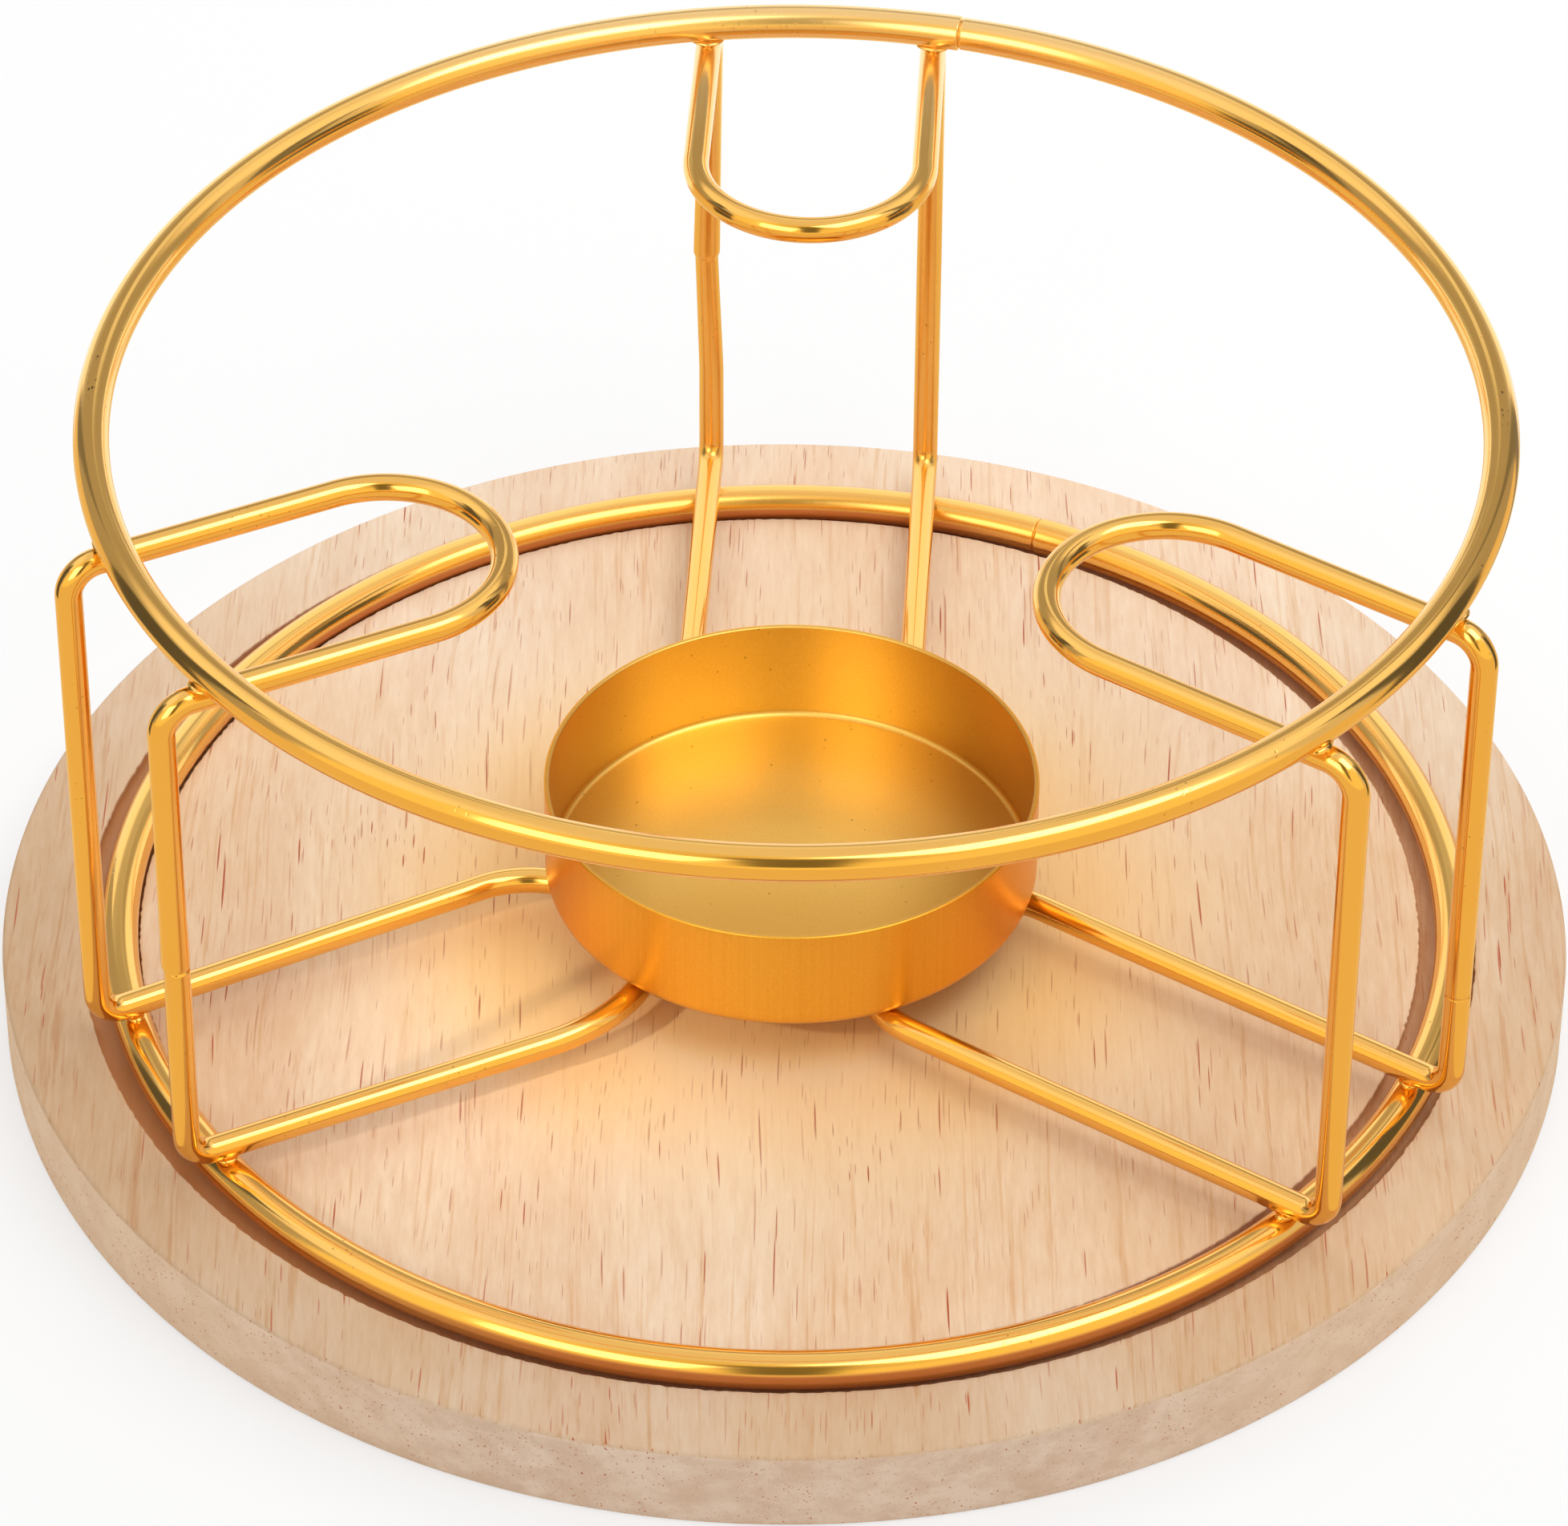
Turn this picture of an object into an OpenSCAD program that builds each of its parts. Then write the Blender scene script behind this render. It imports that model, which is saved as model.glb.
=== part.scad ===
// Teapot warmer: a turned wooden board with a round groove, and a wire stand that
// sits in the groove by its base ring and lifts straight out.
// Millimetres, +Z up. The origin is the middle of the board's underside.

/* [Board] */
// Diameter of the board
board_d = 150; // [142:1:200]
// Thickness of the board
board_t = 8.5; // [6:0.5:16]
// Radius of the eased rims, top and bottom
board_ease = 0.8; // [0.2:0.1:2]
// Width of the groove
groove_w = 5.8; // [5:0.1:8]
// Offset of the groove from the board's middle, as cut
groove_at = [-0.2, 0.4]; // [-0.5:0.1:0.5]

/* [Base ring] */
// Diameter of the base ring and of its groove, at the middle of the wire
base_ring_d = 127.9; // [100:0.1:134]
// Wire of the base ring
base_wire = 3.6; // [2.8:0.1:4]
// Depth of the ring's underside below the board's top
ring_sink = 1.2; // [0.6:0.1:2.4]
// Offset of the base ring from the stand's middle, as welded
base_slip = [-0.4, -0.4]; // [-0.5:0.1:0.5]
// Where the stand's middle lies over the board's middle
stand_at = [0.6, 0]; // [-0.6:0.1:0.6]
// Gap between the ring's underside and the groove's floor
seat_gap = 0.2; // [0.1:0.05:0.4]

/* [Top ring] */
// Wire of the top ring
top_wire = 3.3; // [2:0.1:4]
// Distance of the top ring inside the posts, wire middle to wire middle
top_ring_in = 3.05; // [2.9:0.05:10]
// Offset of the top ring from the stand's middle, as welded
top_slip = [0.2, 0.1]; // [-0.5:0.1:0.5]

/* [Brackets] */
// Wire of the three brackets
bracket_wire = 2.5; // [2:0.1:3.4]
// Distance between the two limbs of a bracket, wire middle to wire middle
bracket_w = 22; // [16:0.5:30]
// Height of the pot rest, the top of the loops, above the board's top
rest_h = 57.7; // [35:0.1:90]
// Distance of the posts outside the base ring, wire middle to wire middle
post_out = 3.2; // [2.5:0.05:6]
// Bend radius between foot and post, at the middle of the wire
bend_low = 2.5; // [1.8:0.1:4]
// Bend radius between post and loop, at the middle of the wire
bend_high = 3.0; // [1.8:0.1:5]
// Direction of the rear, left and right bracket, degrees from +X
bracket_turn = [87.2, 206.1, 325.8]; // [0:0.1:360]
// Sideways offset of each bracket as welded
bracket_slip = [0.7, 0.7, -0.9]; // [-2:0.1:2]
// Radius that each loop reaches in to, at the middle of its wire
loop_reach = [33.0, 30.3, 30.1]; // [26:0.1:40]

/* [Candle cup] */
// Outside diameter of the cup
cup_d = 47; // [42:0.5:56]
// Height of the cup
cup_h = 11.3; // [8:0.1:20]
// Sheet thickness of the cup
cup_wall = 0.5; // [0.4:0.1:1]
// Outside radius of the cup's bottom edge
cup_round = 1.5; // [1.2:0.1:3]
// How far the feet of each bracket reach in under the cup from its wall
cup_lap = [12.3, 7.5, 12.3]; // [6:0.1:13]

/* [Welds] */
// Gap between two wires that a weld bead fills
weld_gap = 0.1; // [0.05:0.05:0.2]
// Diameter of the beads on the rings
bead_d = 2.8; // [2.4:0.1:4]
// Diameter of the beads under the cup
cup_bead_d = 2.8; // [2.4:0.1:4]

/* [Hidden] */
$fn = 96;

gold = [0.85, 0.60, 0.24];
satin_gold = [0.90, 0.60, 0.17];
bead_gold = [0.93, 0.62, 0.18];
pale_wood = [0.93, 0.78, 0.63];

REAR = 0;
LEFT = 1;
RIGHT = 2;
BRACKETS = [REAR, LEFT, RIGHT];
SIDES = [-1, 1];

groove_depth = ring_sink + seat_gap;

// Heights of the wire middles, stacked from the groove upwards
base_ring_z = board_t - ring_sink + base_wire / 2;
foot_z = base_ring_z + base_wire / 2 + weld_gap + bracket_wire / 2;
loop_z = board_t + rest_h - bracket_wire / 2;
top_ring_z = loop_z + bracket_wire / 2 + weld_gap + top_wire / 2;
cup_z = foot_z + bracket_wire / 2 + weld_gap;

// The posts stand outside the base ring, and the top ring lies inside them
post_r = base_ring_d / 2 + post_out;
top_ring_d = 2 * (post_r - top_ring_in);

// Where a bracket's feet meet under the cup, and where their straight stretch begins
function foot_reach(which) = cup_d / 2 - cup_lap[which];
function foot_start_r(which) = foot_reach(which) + bracket_w / 2;

// A rod of wire along +X in the plane of one limb
module rod_x(from_r, to_r, z) {
    translate([from_r, 0, z])
        rotate([0, 90, 0])
            cylinder(h = to_r - from_r, d = bracket_wire);
}

// A quarter bend of wire in the upright plane of one limb, from the angle start
module upright_bend(middle_z, bend_r, start) {
    translate([post_r - bend_r, 0, middle_z])
        rotate([90, 0, 0])
            rotate([0, 0, start])
                rotate_extrude(angle = 90)
                    translate([bend_r, 0])
                        circle(d = bracket_wire);
}

// The U-shaped end that joins two limbs at one height, open outwards
module u_end(start_r, z) {
    translate([start_r, 0, z])
        rotate([0, 0, 90])
            rotate_extrude(angle = 180)
                translate([bracket_w / 2, 0])
                    circle(d = bracket_wire);
}

// One side of a bracket: foot, bend, post, bend and loop limb
module limb(foot_start_r, loop_start_r) {
    rod_x(foot_start_r, post_r - bend_low, foot_z);
    upright_bend(foot_z + bend_low, bend_low, -90);
    translate([post_r, 0, foot_z + bend_low])
        cylinder(h = loop_z - foot_z - bend_low - bend_high, d = bracket_wire);
    upright_bend(loop_z - bend_high, bend_high, 0);
    rod_x(loop_start_r, post_r - bend_high, loop_z);
}

// Moves its children from a bracket's own plane to the bracket's place on the stand
module at_bracket(which) {
    translate(stand_at)
        rotate([0, 0, bracket_turn[which]])
            translate([0, bracket_slip[which], 0])
                children();
}

// A bracket is one closed loop of wire
module bracket(which) {
    loop_start_r = loop_reach[which] + bracket_w / 2;
    color(gold)
        at_bracket(which) {
            for (side = SIDES)
                translate([0, side * bracket_w / 2, 0])
                    limb(foot_start_r(which), loop_start_r);
            u_end(foot_start_r(which), foot_z);
            u_end(loop_start_r, loop_z);
        }
}

// A closed ring of wire, off the stand's middle by its slip
module wire_ring(ring_d, wire, z, slip) {
    translate([stand_at[0] + slip[0], stand_at[1] + slip[1], z])
        rotate_extrude()
            translate([ring_d / 2, 0])
                circle(d = wire);
}

// Half section of a disc with rounded rims
module eased_section(d, t, ease) {
    square([d / 2 - ease, t]);
    translate([0, ease])
        square([d / 2, t - 2 * ease]);
    for (z = [ease, t - ease])
        translate([d / 2 - ease, z])
            circle(r = ease);
}

// Half section of a straight-sided pan with a rounded bottom edge
module pan_section(d, h, round_r) {
    square([d / 2 - round_r, h]);
    translate([0, round_r])
        square([d / 2, h - round_r]);
    translate([d / 2 - round_r, round_r])
        circle(r = round_r);
}

// A ring's slip seen from a bracket: along the bracket's limbs, and across them
function along(which, slip) = slip[0] * cos(bracket_turn[which]) + slip[1] * sin(bracket_turn[which]);
function across(which, slip) = slip[1] * cos(bracket_turn[which]) - slip[0] * sin(bracket_turn[which]);

// Where a bracket's limb crosses a ring, measured along the bracket
function crossing_r(which, side, ring_d, slip) =
    let (off_y = bracket_slip[which] + side * bracket_w / 2 - across(which, slip))
    along(which, slip) + sqrt(pow(ring_d / 2, 2) - pow(off_y, 2));

// The six beads between one ring and the limbs that it crosses, cut to the wires
module ring_beads(ring_d, wire, ring_z, slip, limb_z) {
    low_z = min(ring_z, limb_z);
    difference() {
        for (which = BRACKETS, side = SIDES)
            at_bracket(which)
                translate([crossing_r(which, side, ring_d, slip), side * bracket_w / 2, low_z])
                    cylinder(h = abs(ring_z - limb_z), d = bead_d);
        wire_ring(ring_d, wire, ring_z, slip);
        for (which = BRACKETS, side = SIDES)
            at_bracket(which)
                translate([0, side * bracket_w / 2, 0])
                    rod_x(foot_start_r(which), post_r, limb_z);
    }
}

module base_board() {
    color(pale_wood)
        difference() {
            rotate_extrude()
                eased_section(board_d, board_t, board_ease);
            translate(groove_at)
                rotate_extrude()
                    translate([base_ring_d / 2 - groove_w / 2, board_t - groove_depth])
                        square([groove_w, 2 * groove_depth]);
        }
}

module base_ring() {
    color(gold)
        wire_ring(base_ring_d, base_wire, base_ring_z, base_slip);
}

module bracket_rear() {
    bracket(REAR);
}

module bracket_left() {
    bracket(LEFT);
}

module bracket_right() {
    bracket(RIGHT);
}

module top_ring() {
    color(gold)
        wire_ring(top_ring_d, top_wire, top_ring_z, top_slip);
}

module candle_cup() {
    color(satin_gold)
        translate([stand_at[0], stand_at[1], cup_z])
            rotate_extrude()
                difference() {
                    pan_section(cup_d, cup_h, cup_round);
                    translate([0, cup_wall])
                        pan_section(cup_d - 2 * cup_wall, cup_h, cup_round - cup_wall);
                }
}

module base_ring_welds() {
    color(bead_gold)
        ring_beads(base_ring_d, base_wire, base_ring_z, base_slip, foot_z);
}

module top_ring_welds() {
    color(bead_gold)
        ring_beads(top_ring_d, top_wire, top_ring_z, top_slip, loop_z);
}

// One bead under the cup at the inmost point of each bracket's feet
module cup_welds() {
    color(bead_gold)
        difference() {
            for (which = BRACKETS)
                at_bracket(which)
                    translate([foot_reach(which), 0, foot_z])
                        cylinder(h = cup_z - foot_z, d = cup_bead_d);
            for (which = BRACKETS)
                at_bracket(which)
                    u_end(foot_start_r(which), foot_z);
        }
}

base_board();
base_ring();
bracket_rear();
bracket_left();
bracket_right();
top_ring();
candle_cup();
base_ring_welds();
top_ring_welds();
cup_welds();
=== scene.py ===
# %% [markdown]
# # A teapot warmer of gold wire on a wooden board
# The real thing is a turned disc of pale hardwood with a round groove, and a stand of gold-plated
# wire that sits in the groove and lifts out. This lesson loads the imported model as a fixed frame,
# replaces its plain solids by finished surfaces of the same size, and lights them as in a studio.

# %% Load the frame
import bpy
import numpy as np
from mathutils import Matrix, Vector


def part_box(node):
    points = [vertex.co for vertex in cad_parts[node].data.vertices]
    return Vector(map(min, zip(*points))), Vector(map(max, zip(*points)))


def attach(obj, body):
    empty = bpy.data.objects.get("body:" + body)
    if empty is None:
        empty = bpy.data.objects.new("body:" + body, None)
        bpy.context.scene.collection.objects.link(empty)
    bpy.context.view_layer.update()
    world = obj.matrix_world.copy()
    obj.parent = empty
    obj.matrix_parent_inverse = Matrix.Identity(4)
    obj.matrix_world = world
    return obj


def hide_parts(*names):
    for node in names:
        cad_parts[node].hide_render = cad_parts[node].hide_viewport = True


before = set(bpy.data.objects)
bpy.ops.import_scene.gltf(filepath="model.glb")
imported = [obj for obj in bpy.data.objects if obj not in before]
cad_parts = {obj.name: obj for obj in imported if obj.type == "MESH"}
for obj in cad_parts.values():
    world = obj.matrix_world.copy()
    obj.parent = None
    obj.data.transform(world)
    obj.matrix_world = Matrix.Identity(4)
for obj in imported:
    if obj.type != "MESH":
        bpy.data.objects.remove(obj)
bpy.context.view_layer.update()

MM = 0.001
print("nodes:", ", ".join(sorted(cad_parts)))

# %% [markdown]
# The camera could be placed by eye. Here it comes from a fit to the outlines of the board, the
# rings and the cup, so that the wires fall on the same pixels as in the photograph. The
# lens is long, because the object's far side is hardly smaller than its near side.

# %% Camera
PICTURE_WIDTH_PX = 1956
FOCAL_PX = 9171.5
SENSOR_MM = 36.0
EYE_MM = Vector((0.0, -539.12, 466.59))
AIM_MM = Vector((-0.136, 0.0, 26.611))
ROLL = 0.006


def look_at(eye, aim, roll):
    """The camera's matrix: its back faces away from the aim, and its right side turns by the roll."""
    ahead = (aim - eye).normalized()
    level = ahead.cross(Vector((0, 0, 1))).normalized()
    upright = level.cross(ahead)
    right = level * np.cos(roll) + upright * np.sin(roll)
    up = right.cross(ahead)
    turn = Matrix((right, up, -ahead)).transposed()
    return Matrix.Translation(eye) @ turn.to_4x4()


lens = bpy.data.cameras.new("camera")
lens.sensor_fit = "HORIZONTAL"
lens.sensor_width = SENSOR_MM
lens.lens = FOCAL_PX / PICTURE_WIDTH_PX * SENSOR_MM
camera = bpy.data.objects.new("camera", lens)
camera.matrix_world = look_at(EYE_MM * MM, AIM_MM * MM, ROLL)
bpy.context.scene.collection.objects.link(camera)
bpy.context.scene.camera = camera
print("lens, mm:", round(lens.lens, 1))

# %% [markdown]
# Every piece keeps the place and size of the solid that it stands for, so the sizes are measured
# on the frame. Only what a box can't tell, such as the direction of a bracket, is written here.

# %% Sizes from the frame
def box_mm(node):
    """A node's lowest and highest corner in millimetres."""
    low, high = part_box(node)
    return np.array(low) / MM, np.array(high) / MM


def ring_of(node):
    """Middle, radius at the wire's middle, and wire diameter of a ring that lies flat."""
    low, high = box_mm(node)
    wire = high[2] - low[2]
    return {"middle": (low + high) / 2, "radius": (high[0] - low[0] - wire) / 2, "wire": wire}


base_ring = ring_of("base_ring")
top_ring = ring_of("top_ring")
board_low, board_high = box_mm("base_board")
cup_low, cup_high = box_mm("candle_cup")
bracket_low, bracket_high = box_mm("bracket_rear")
BOARD_R = (board_high[0] - board_low[0]) / 2
BOARD_TOP = board_high[2]
CUP_R = (cup_high[0] - cup_low[0]) / 2
CUP_MIDDLE = (cup_low + cup_high)[:2] / 2
print("base ring, mm:", base_ring["radius"].round(2), "board, mm:", round(BOARD_R, 2), BOARD_TOP.round(2))

# %% [markdown]
# One function turns grids of points into a mesh. Each grid has rows along a path or a profile and
# columns that run once around, so the columns always join. The rows join as well on a closed
# wire, and are otherwise closed by a point at each end. The faces are turned outwards by
# looking at the sign of the volume that they enclose.

# %% From grids to meshes
def grid_faces(rows, columns, closed, start):
    """Corner numbers of a grid's four-sided faces, and of the end fans of an open one."""
    row = np.arange(rows if closed else rows - 1)[:, None]
    column = np.arange(columns)[None, :]
    next_row = (row + 1) % rows
    next_column = (column + 1) % columns
    corners = [row * columns + column, next_row * columns + column,
               next_row * columns + next_column, row * columns + next_column]
    quads = np.stack(corners, -1).reshape(-1, 4) + start
    if closed:
        return quads, np.zeros((0, 3), int)
    around = np.arange(columns)
    after = (around + 1) % columns
    last = (rows - 1) * columns
    first_pole = np.full(columns, rows * columns)
    first_fan = np.stack([first_pole, around, after], -1)
    last_fan = np.stack([first_pole + 1, last + after, last + around], -1)
    return quads, np.concatenate([first_fan, last_fan]) + start


def enclosed(points, quads, fans):
    """Six times the volume inside the faces, from the triple products of their corners."""
    halves = np.concatenate([quads[:, [0, 1, 2]], quads[:, [0, 2, 3]], fans])
    a, b, c = points[halves[:, 0]], points[halves[:, 1]], points[halves[:, 2]]
    return np.einsum("ij,ij->", a, np.cross(b, c))


def skin(name, grids, closed, material, body, nodes):
    """A finished piece from one or more grids (rows, columns, xyz) in millimetres."""
    points, quads, fans = [], [], []
    start = 0
    for grid in grids:
        rows, columns = grid.shape[:2]
        flat = grid.reshape(-1, 3)
        if not closed:
            flat = np.concatenate([flat, grid[[0, -1]].mean(1)])
        four, three = grid_faces(rows, columns, closed, start)
        points.append(flat)
        quads.append(four)
        fans.append(three)
        start += len(flat)
    points, quads, fans = (np.concatenate(part) for part in (points, quads, fans))
    if enclosed(points, quads, fans) < 0:
        quads, fans = quads[:, ::-1], fans[:, ::-1]
    mesh = bpy.data.meshes.new(name)
    mesh.from_pydata((points * MM).tolist(), [], quads.tolist() + fans.tolist())
    mesh.shade_smooth()
    mesh.materials.append(material)
    piece = bpy.data.objects.new(name, mesh)
    bpy.context.scene.collection.objects.link(piece)
    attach(piece, body)
    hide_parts(*nodes)
    print(name, "faces:", len(mesh.polygons))
    return piece


# %% [markdown]
# The materials share a few small helpers: one turns the usual hex colour into the linear values
# that shaders work with, and one adds a node, sets it and links it. At a scale of one a pattern
# has one cell to the metre, so a helper lays it out in cells of a real size.

# %% Colour and node helpers
def linear(code):
    """Linear red, green, blue and alpha of an sRGB hex colour."""
    srgb = np.array([int(code[at:at + 2], 16) for at in (1, 3, 5)]) / 255
    rgb = np.where(srgb <= 0.04045, srgb / 12.92, ((srgb + 0.055) / 1.055) ** 2.4)
    return (*rgb.tolist(), 1.0)


def cells(x_mm, y_mm, z_mm):
    """Texture scale at which one cell measures so many millimetres each way."""
    return (1000 / x_mm, 1000 / y_mm, 1000 / z_mm)


def span(start, stop, unit=1.0):
    """The two ends of a range in some unit, under the names that a Map Range node has for them."""
    return {"From Min": start * unit, "From Max": stop * unit}


def add(tree, kind, settings, inputs):
    """One more node: its settings, then each input as a value or as a link from a socket."""
    made = tree.nodes.new(kind)
    for name, value in settings.items():
        setattr(made, name, value)
    for key, value in inputs.items():
        if isinstance(value, bpy.types.NodeSocket):
            tree.links.new(value, made.inputs[key])
        else:
            made.inputs[key].default_value = value
    return made.outputs


def pattern(tree, kind, place, cell, inputs):
    """A texture of some kind over a place, with cells of so many millimetres each way."""
    at = add(tree, "ShaderNodeMapping", {}, {"Vector": place, "Scale": cells(*cell)})[0]
    return add(tree, kind, {}, {"Vector": at, "Scale": 1.0, **inputs})


def new_material(name):
    """An empty material, its tree and its Principled shader, with an output."""
    material = bpy.data.materials.new(name)
    material.use_nodes = True
    return material, material.node_tree, material.node_tree.nodes["Principled BSDF"]


# Kinds of node that are used often, by Blender's names for them.
MATH = "ShaderNodeMath"
VECTOR_MATH = "ShaderNodeVectorMath"
SEPARATE = "ShaderNodeSeparateXYZ"
MAP_RANGE = "ShaderNodeMapRange"
MIX = "ShaderNodeMix"
NOISE = "ShaderNodeTexNoise"
VORONOI = "ShaderNodeTexVoronoi"
# Sockets of the Mix node: the factor, two colours and their mix, or two numbers.
FACTOR, FIRST, SECOND, MIXED = 0, 6, 7, 2
ONE, OTHER = 2, 3
# Settings that many nodes share, and the results of a Map Range that falls from one to nothing.
COLOUR_MIX = {"data_type": "RGBA"}
MULTIPLIED = {"data_type": "RGBA", "blend_type": "MULTIPLY"}
SMOOTH = {"interpolation_type": "SMOOTHSTEP"}
PLUS = {"operation": "ADD"}
MINUS = {"operation": "SUBTRACT"}
TIMES = {"operation": "MULTIPLY"}
TIMES_PLUS = {"operation": "MULTIPLY_ADD"}
LARGER = {"operation": "MAXIMUM"}
UNSIGNED = {"operation": "ABSOLUTE"}
LENGTH = {"operation": "LENGTH"}
DOT = {"operation": "DOT_PRODUCT"}
FALLING = {"To Min": 1.0, "To Max": 0.0}
print("mid grey, linear:", round(linear("#808080")[0], 3))

# %% [markdown]
# Where the base ring lies in its groove, its lower half reflects the brown of the scorched wood. This
# reflection is painted into the plate as a brown, less metallic band: a painted reflection. A dark ring
# could be a second material, but its edge would be hard. Here it is a share from nought to one, worked
# out from the place of each point, which the plate then uses as a mix.

# %% Painted reflection on the base ring
# The painted reflection fades out between two heights, a little higher at the front, and grows towards
# the front and the rear. On the right it begins further back.
PAINTED_REFLECTION_Z = span(base_ring["middle"][2] + 0.2, base_ring["middle"][2] + 0.6, MM)
PAINTED_REFLECTION_RISE_Y = span(-50, 0, MM)
PAINTED_REFLECTION_RISE = 0.35 * MM
PAINTED_REFLECTION_AWAY = span(15, 42, MM)
PAINTED_REFLECTION_AHEAD = (0.25, -1.0, 0.0)
AHEAD_LESS = 20 * MM
REFLECTION_SHIFT_X = span(-5, 30, MM)
REFLECTION_SHIFT = 35 * MM


def painted_reflection_share(tree, place, parts):
    """How far the groove's reflection is painted on the wire: a share for its height times a share for
    its distance away.
    """
    rise = add(tree, MAP_RANGE, SMOOTH,
               {"Value": parts["Y"], **PAINTED_REFLECTION_RISE_Y, "To Min": -PAINTED_REFLECTION_RISE, "To Max": 0.0})[0]
    level = add(tree, MATH, PLUS, {0: parts["Z"], 1: rise})[0]
    low = add(tree, MAP_RANGE, SMOOTH, {"Value": level, **PAINTED_REFLECTION_Z, **FALLING})[0]
    reflection_shift = add(tree, MAP_RANGE, SMOOTH,
                {"Value": parts["X"], **REFLECTION_SHIFT_X, "To Max": REFLECTION_SHIFT})[0]
    rear = add(tree, MATH, MINUS, {0: parts["Y"], 1: reflection_shift})[0]
    front = add(tree, VECTOR_MATH, DOT, {0: place, 1: PAINTED_REFLECTION_AHEAD})["Value"]
    front = add(tree, MATH, MINUS, {0: front, 1: AHEAD_LESS})[0]
    away = add(tree, MATH, LARGER, {0: rear, 1: front})[0]
    away = add(tree, MAP_RANGE, SMOOTH, {"Value": away, **PAINTED_REFLECTION_AWAY})[0]
    return add(tree, MATH, TIMES, {0: low, 1: away})[0]


print("stain fades out below, mm:", round(PAINTED_REFLECTION_Z["From Max"] / MM, 2))

# %% [markdown]
# Small marks show that the mirror has a surface: fine pits in worn patches. The dark spots on either side
# of the top ring are painted dark reflections. A Voronoi pattern gives both, because each of its cells
# has one point to darken around.

# %% Pits, and painted dark reflections
# Cells in millimetres, and the distances from a cell's point, in cells, over which a mark fades.
PIT_CELL = (0.9, 1.2, 0.9)
PIT_FADES = span(0.10, 0.16)
DARK_SPOT_CELL = (0.5, 1.3, 0.5)
DARK_SPOT_FADES = span(0.16, 0.30)
WORN_CELL = (9, 9, 9)
WORN_FROM = span(0.58, 0.68)
WORN_MOST = 0.35
# Where the painted dark reflections lie from front to back and how far they reach, and the line along the
# top ring's crown that they keep to.
DARK_SPOTS_Y = 4.0 * MM
DARK_SPOT_REACH = span(5, 9, MM)
CROWN_R = (top_ring["radius"] + 0.2) * MM
CROWN_HALF = span(0.2, 0.5, MM)


def pits_and_painted_spots_share(tree, place, parts):
    """How far the plate is marked: the larger of pits in worn patches and painted dark reflections on the
    crown.
    """
    pits = pattern(tree, VORONOI, place, PIT_CELL, {})["Distance"]
    pits = add(tree, MAP_RANGE, SMOOTH, {"Value": pits, **PIT_FADES, **FALLING})[0]
    worn = pattern(tree, NOISE, place, WORN_CELL, {"Detail": 1.0})["Fac"]
    worn = add(tree, MAP_RANGE, SMOOTH, {"Value": worn, **WORN_FROM, "To Max": WORN_MOST})[0]
    pits = add(tree, MATH, TIMES, {0: pits, 1: worn})[0]
    crown = add(tree, VECTOR_MATH, {"operation": "DISTANCE"},
                {0: place, 1: tuple(top_ring["middle"] * MM)})["Value"]
    crown = add(tree, MATH, MINUS, {0: crown, 1: CROWN_R})[0]
    crown = add(tree, MATH, UNSIGNED, {0: crown})[0]
    crown = add(tree, MAP_RANGE, SMOOTH, {"Value": crown, **CROWN_HALF, **FALLING})[0]
    spot_band = add(tree, MATH, MINUS, {0: parts["Y"], 1: DARK_SPOTS_Y})[0]
    spot_band = add(tree, MATH, UNSIGNED, {0: spot_band})[0]
    spot_band = add(tree, MAP_RANGE, SMOOTH, {"Value": spot_band, **DARK_SPOT_REACH, **FALLING})[0]
    spot_band = add(tree, MATH, TIMES, {0: spot_band, 1: crown})[0]
    painted_dark_spots = pattern(tree, VORONOI, place, DARK_SPOT_CELL, {})["Distance"]
    painted_dark_spots = add(tree, MAP_RANGE, SMOOTH, {"Value": painted_dark_spots, **DARK_SPOT_FADES, **FALLING})[0]
    painted_dark_spots = add(tree, MATH, TIMES, {0: painted_dark_spots, 1: spot_band})[0]
    return add(tree, MATH, LARGER, {0: pits, 1: painted_dark_spots})[0]


print("scuffs at, mm from the middle:", round(DARK_SPOTS_Y / MM, 1))

# %% [markdown]
# The wire is drawn steel with a bright gold-coloured electroplate. It is almost a mirror, so its look
# comes from what stands around it. One even gold would look like foil, so the plate has broad soft
# changes of tone and a faint haze that spreads the highlights. The rear wires are hazier, and the high
# rear wires are painted paler, a painted highlight. The painted reflection of the groove on the base ring
# is less of a metal than the plate.

# %% Plated wire
TONE_CELL = (14, 14, 14)
# Haze of the plate, how much more of it there is on the rear wires and on marks, and from where to where
# the wires turn hazier, and painted paler as a painted highlight.
HAZE = {"To Min": 0.10, "To Max": 0.16}
HAZE_REAR = 0.12
HAZE_MARKS = 0.25
HAZE_Y = span(44, 64, MM)
PALE_Z = span(40, 66, MM)
PALE_MOST = 0.5
PAINTED_REFLECTION_METAL = 0.25
DENT = {"Strength": 0.4, "Distance": 0.05 * MM}


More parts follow.
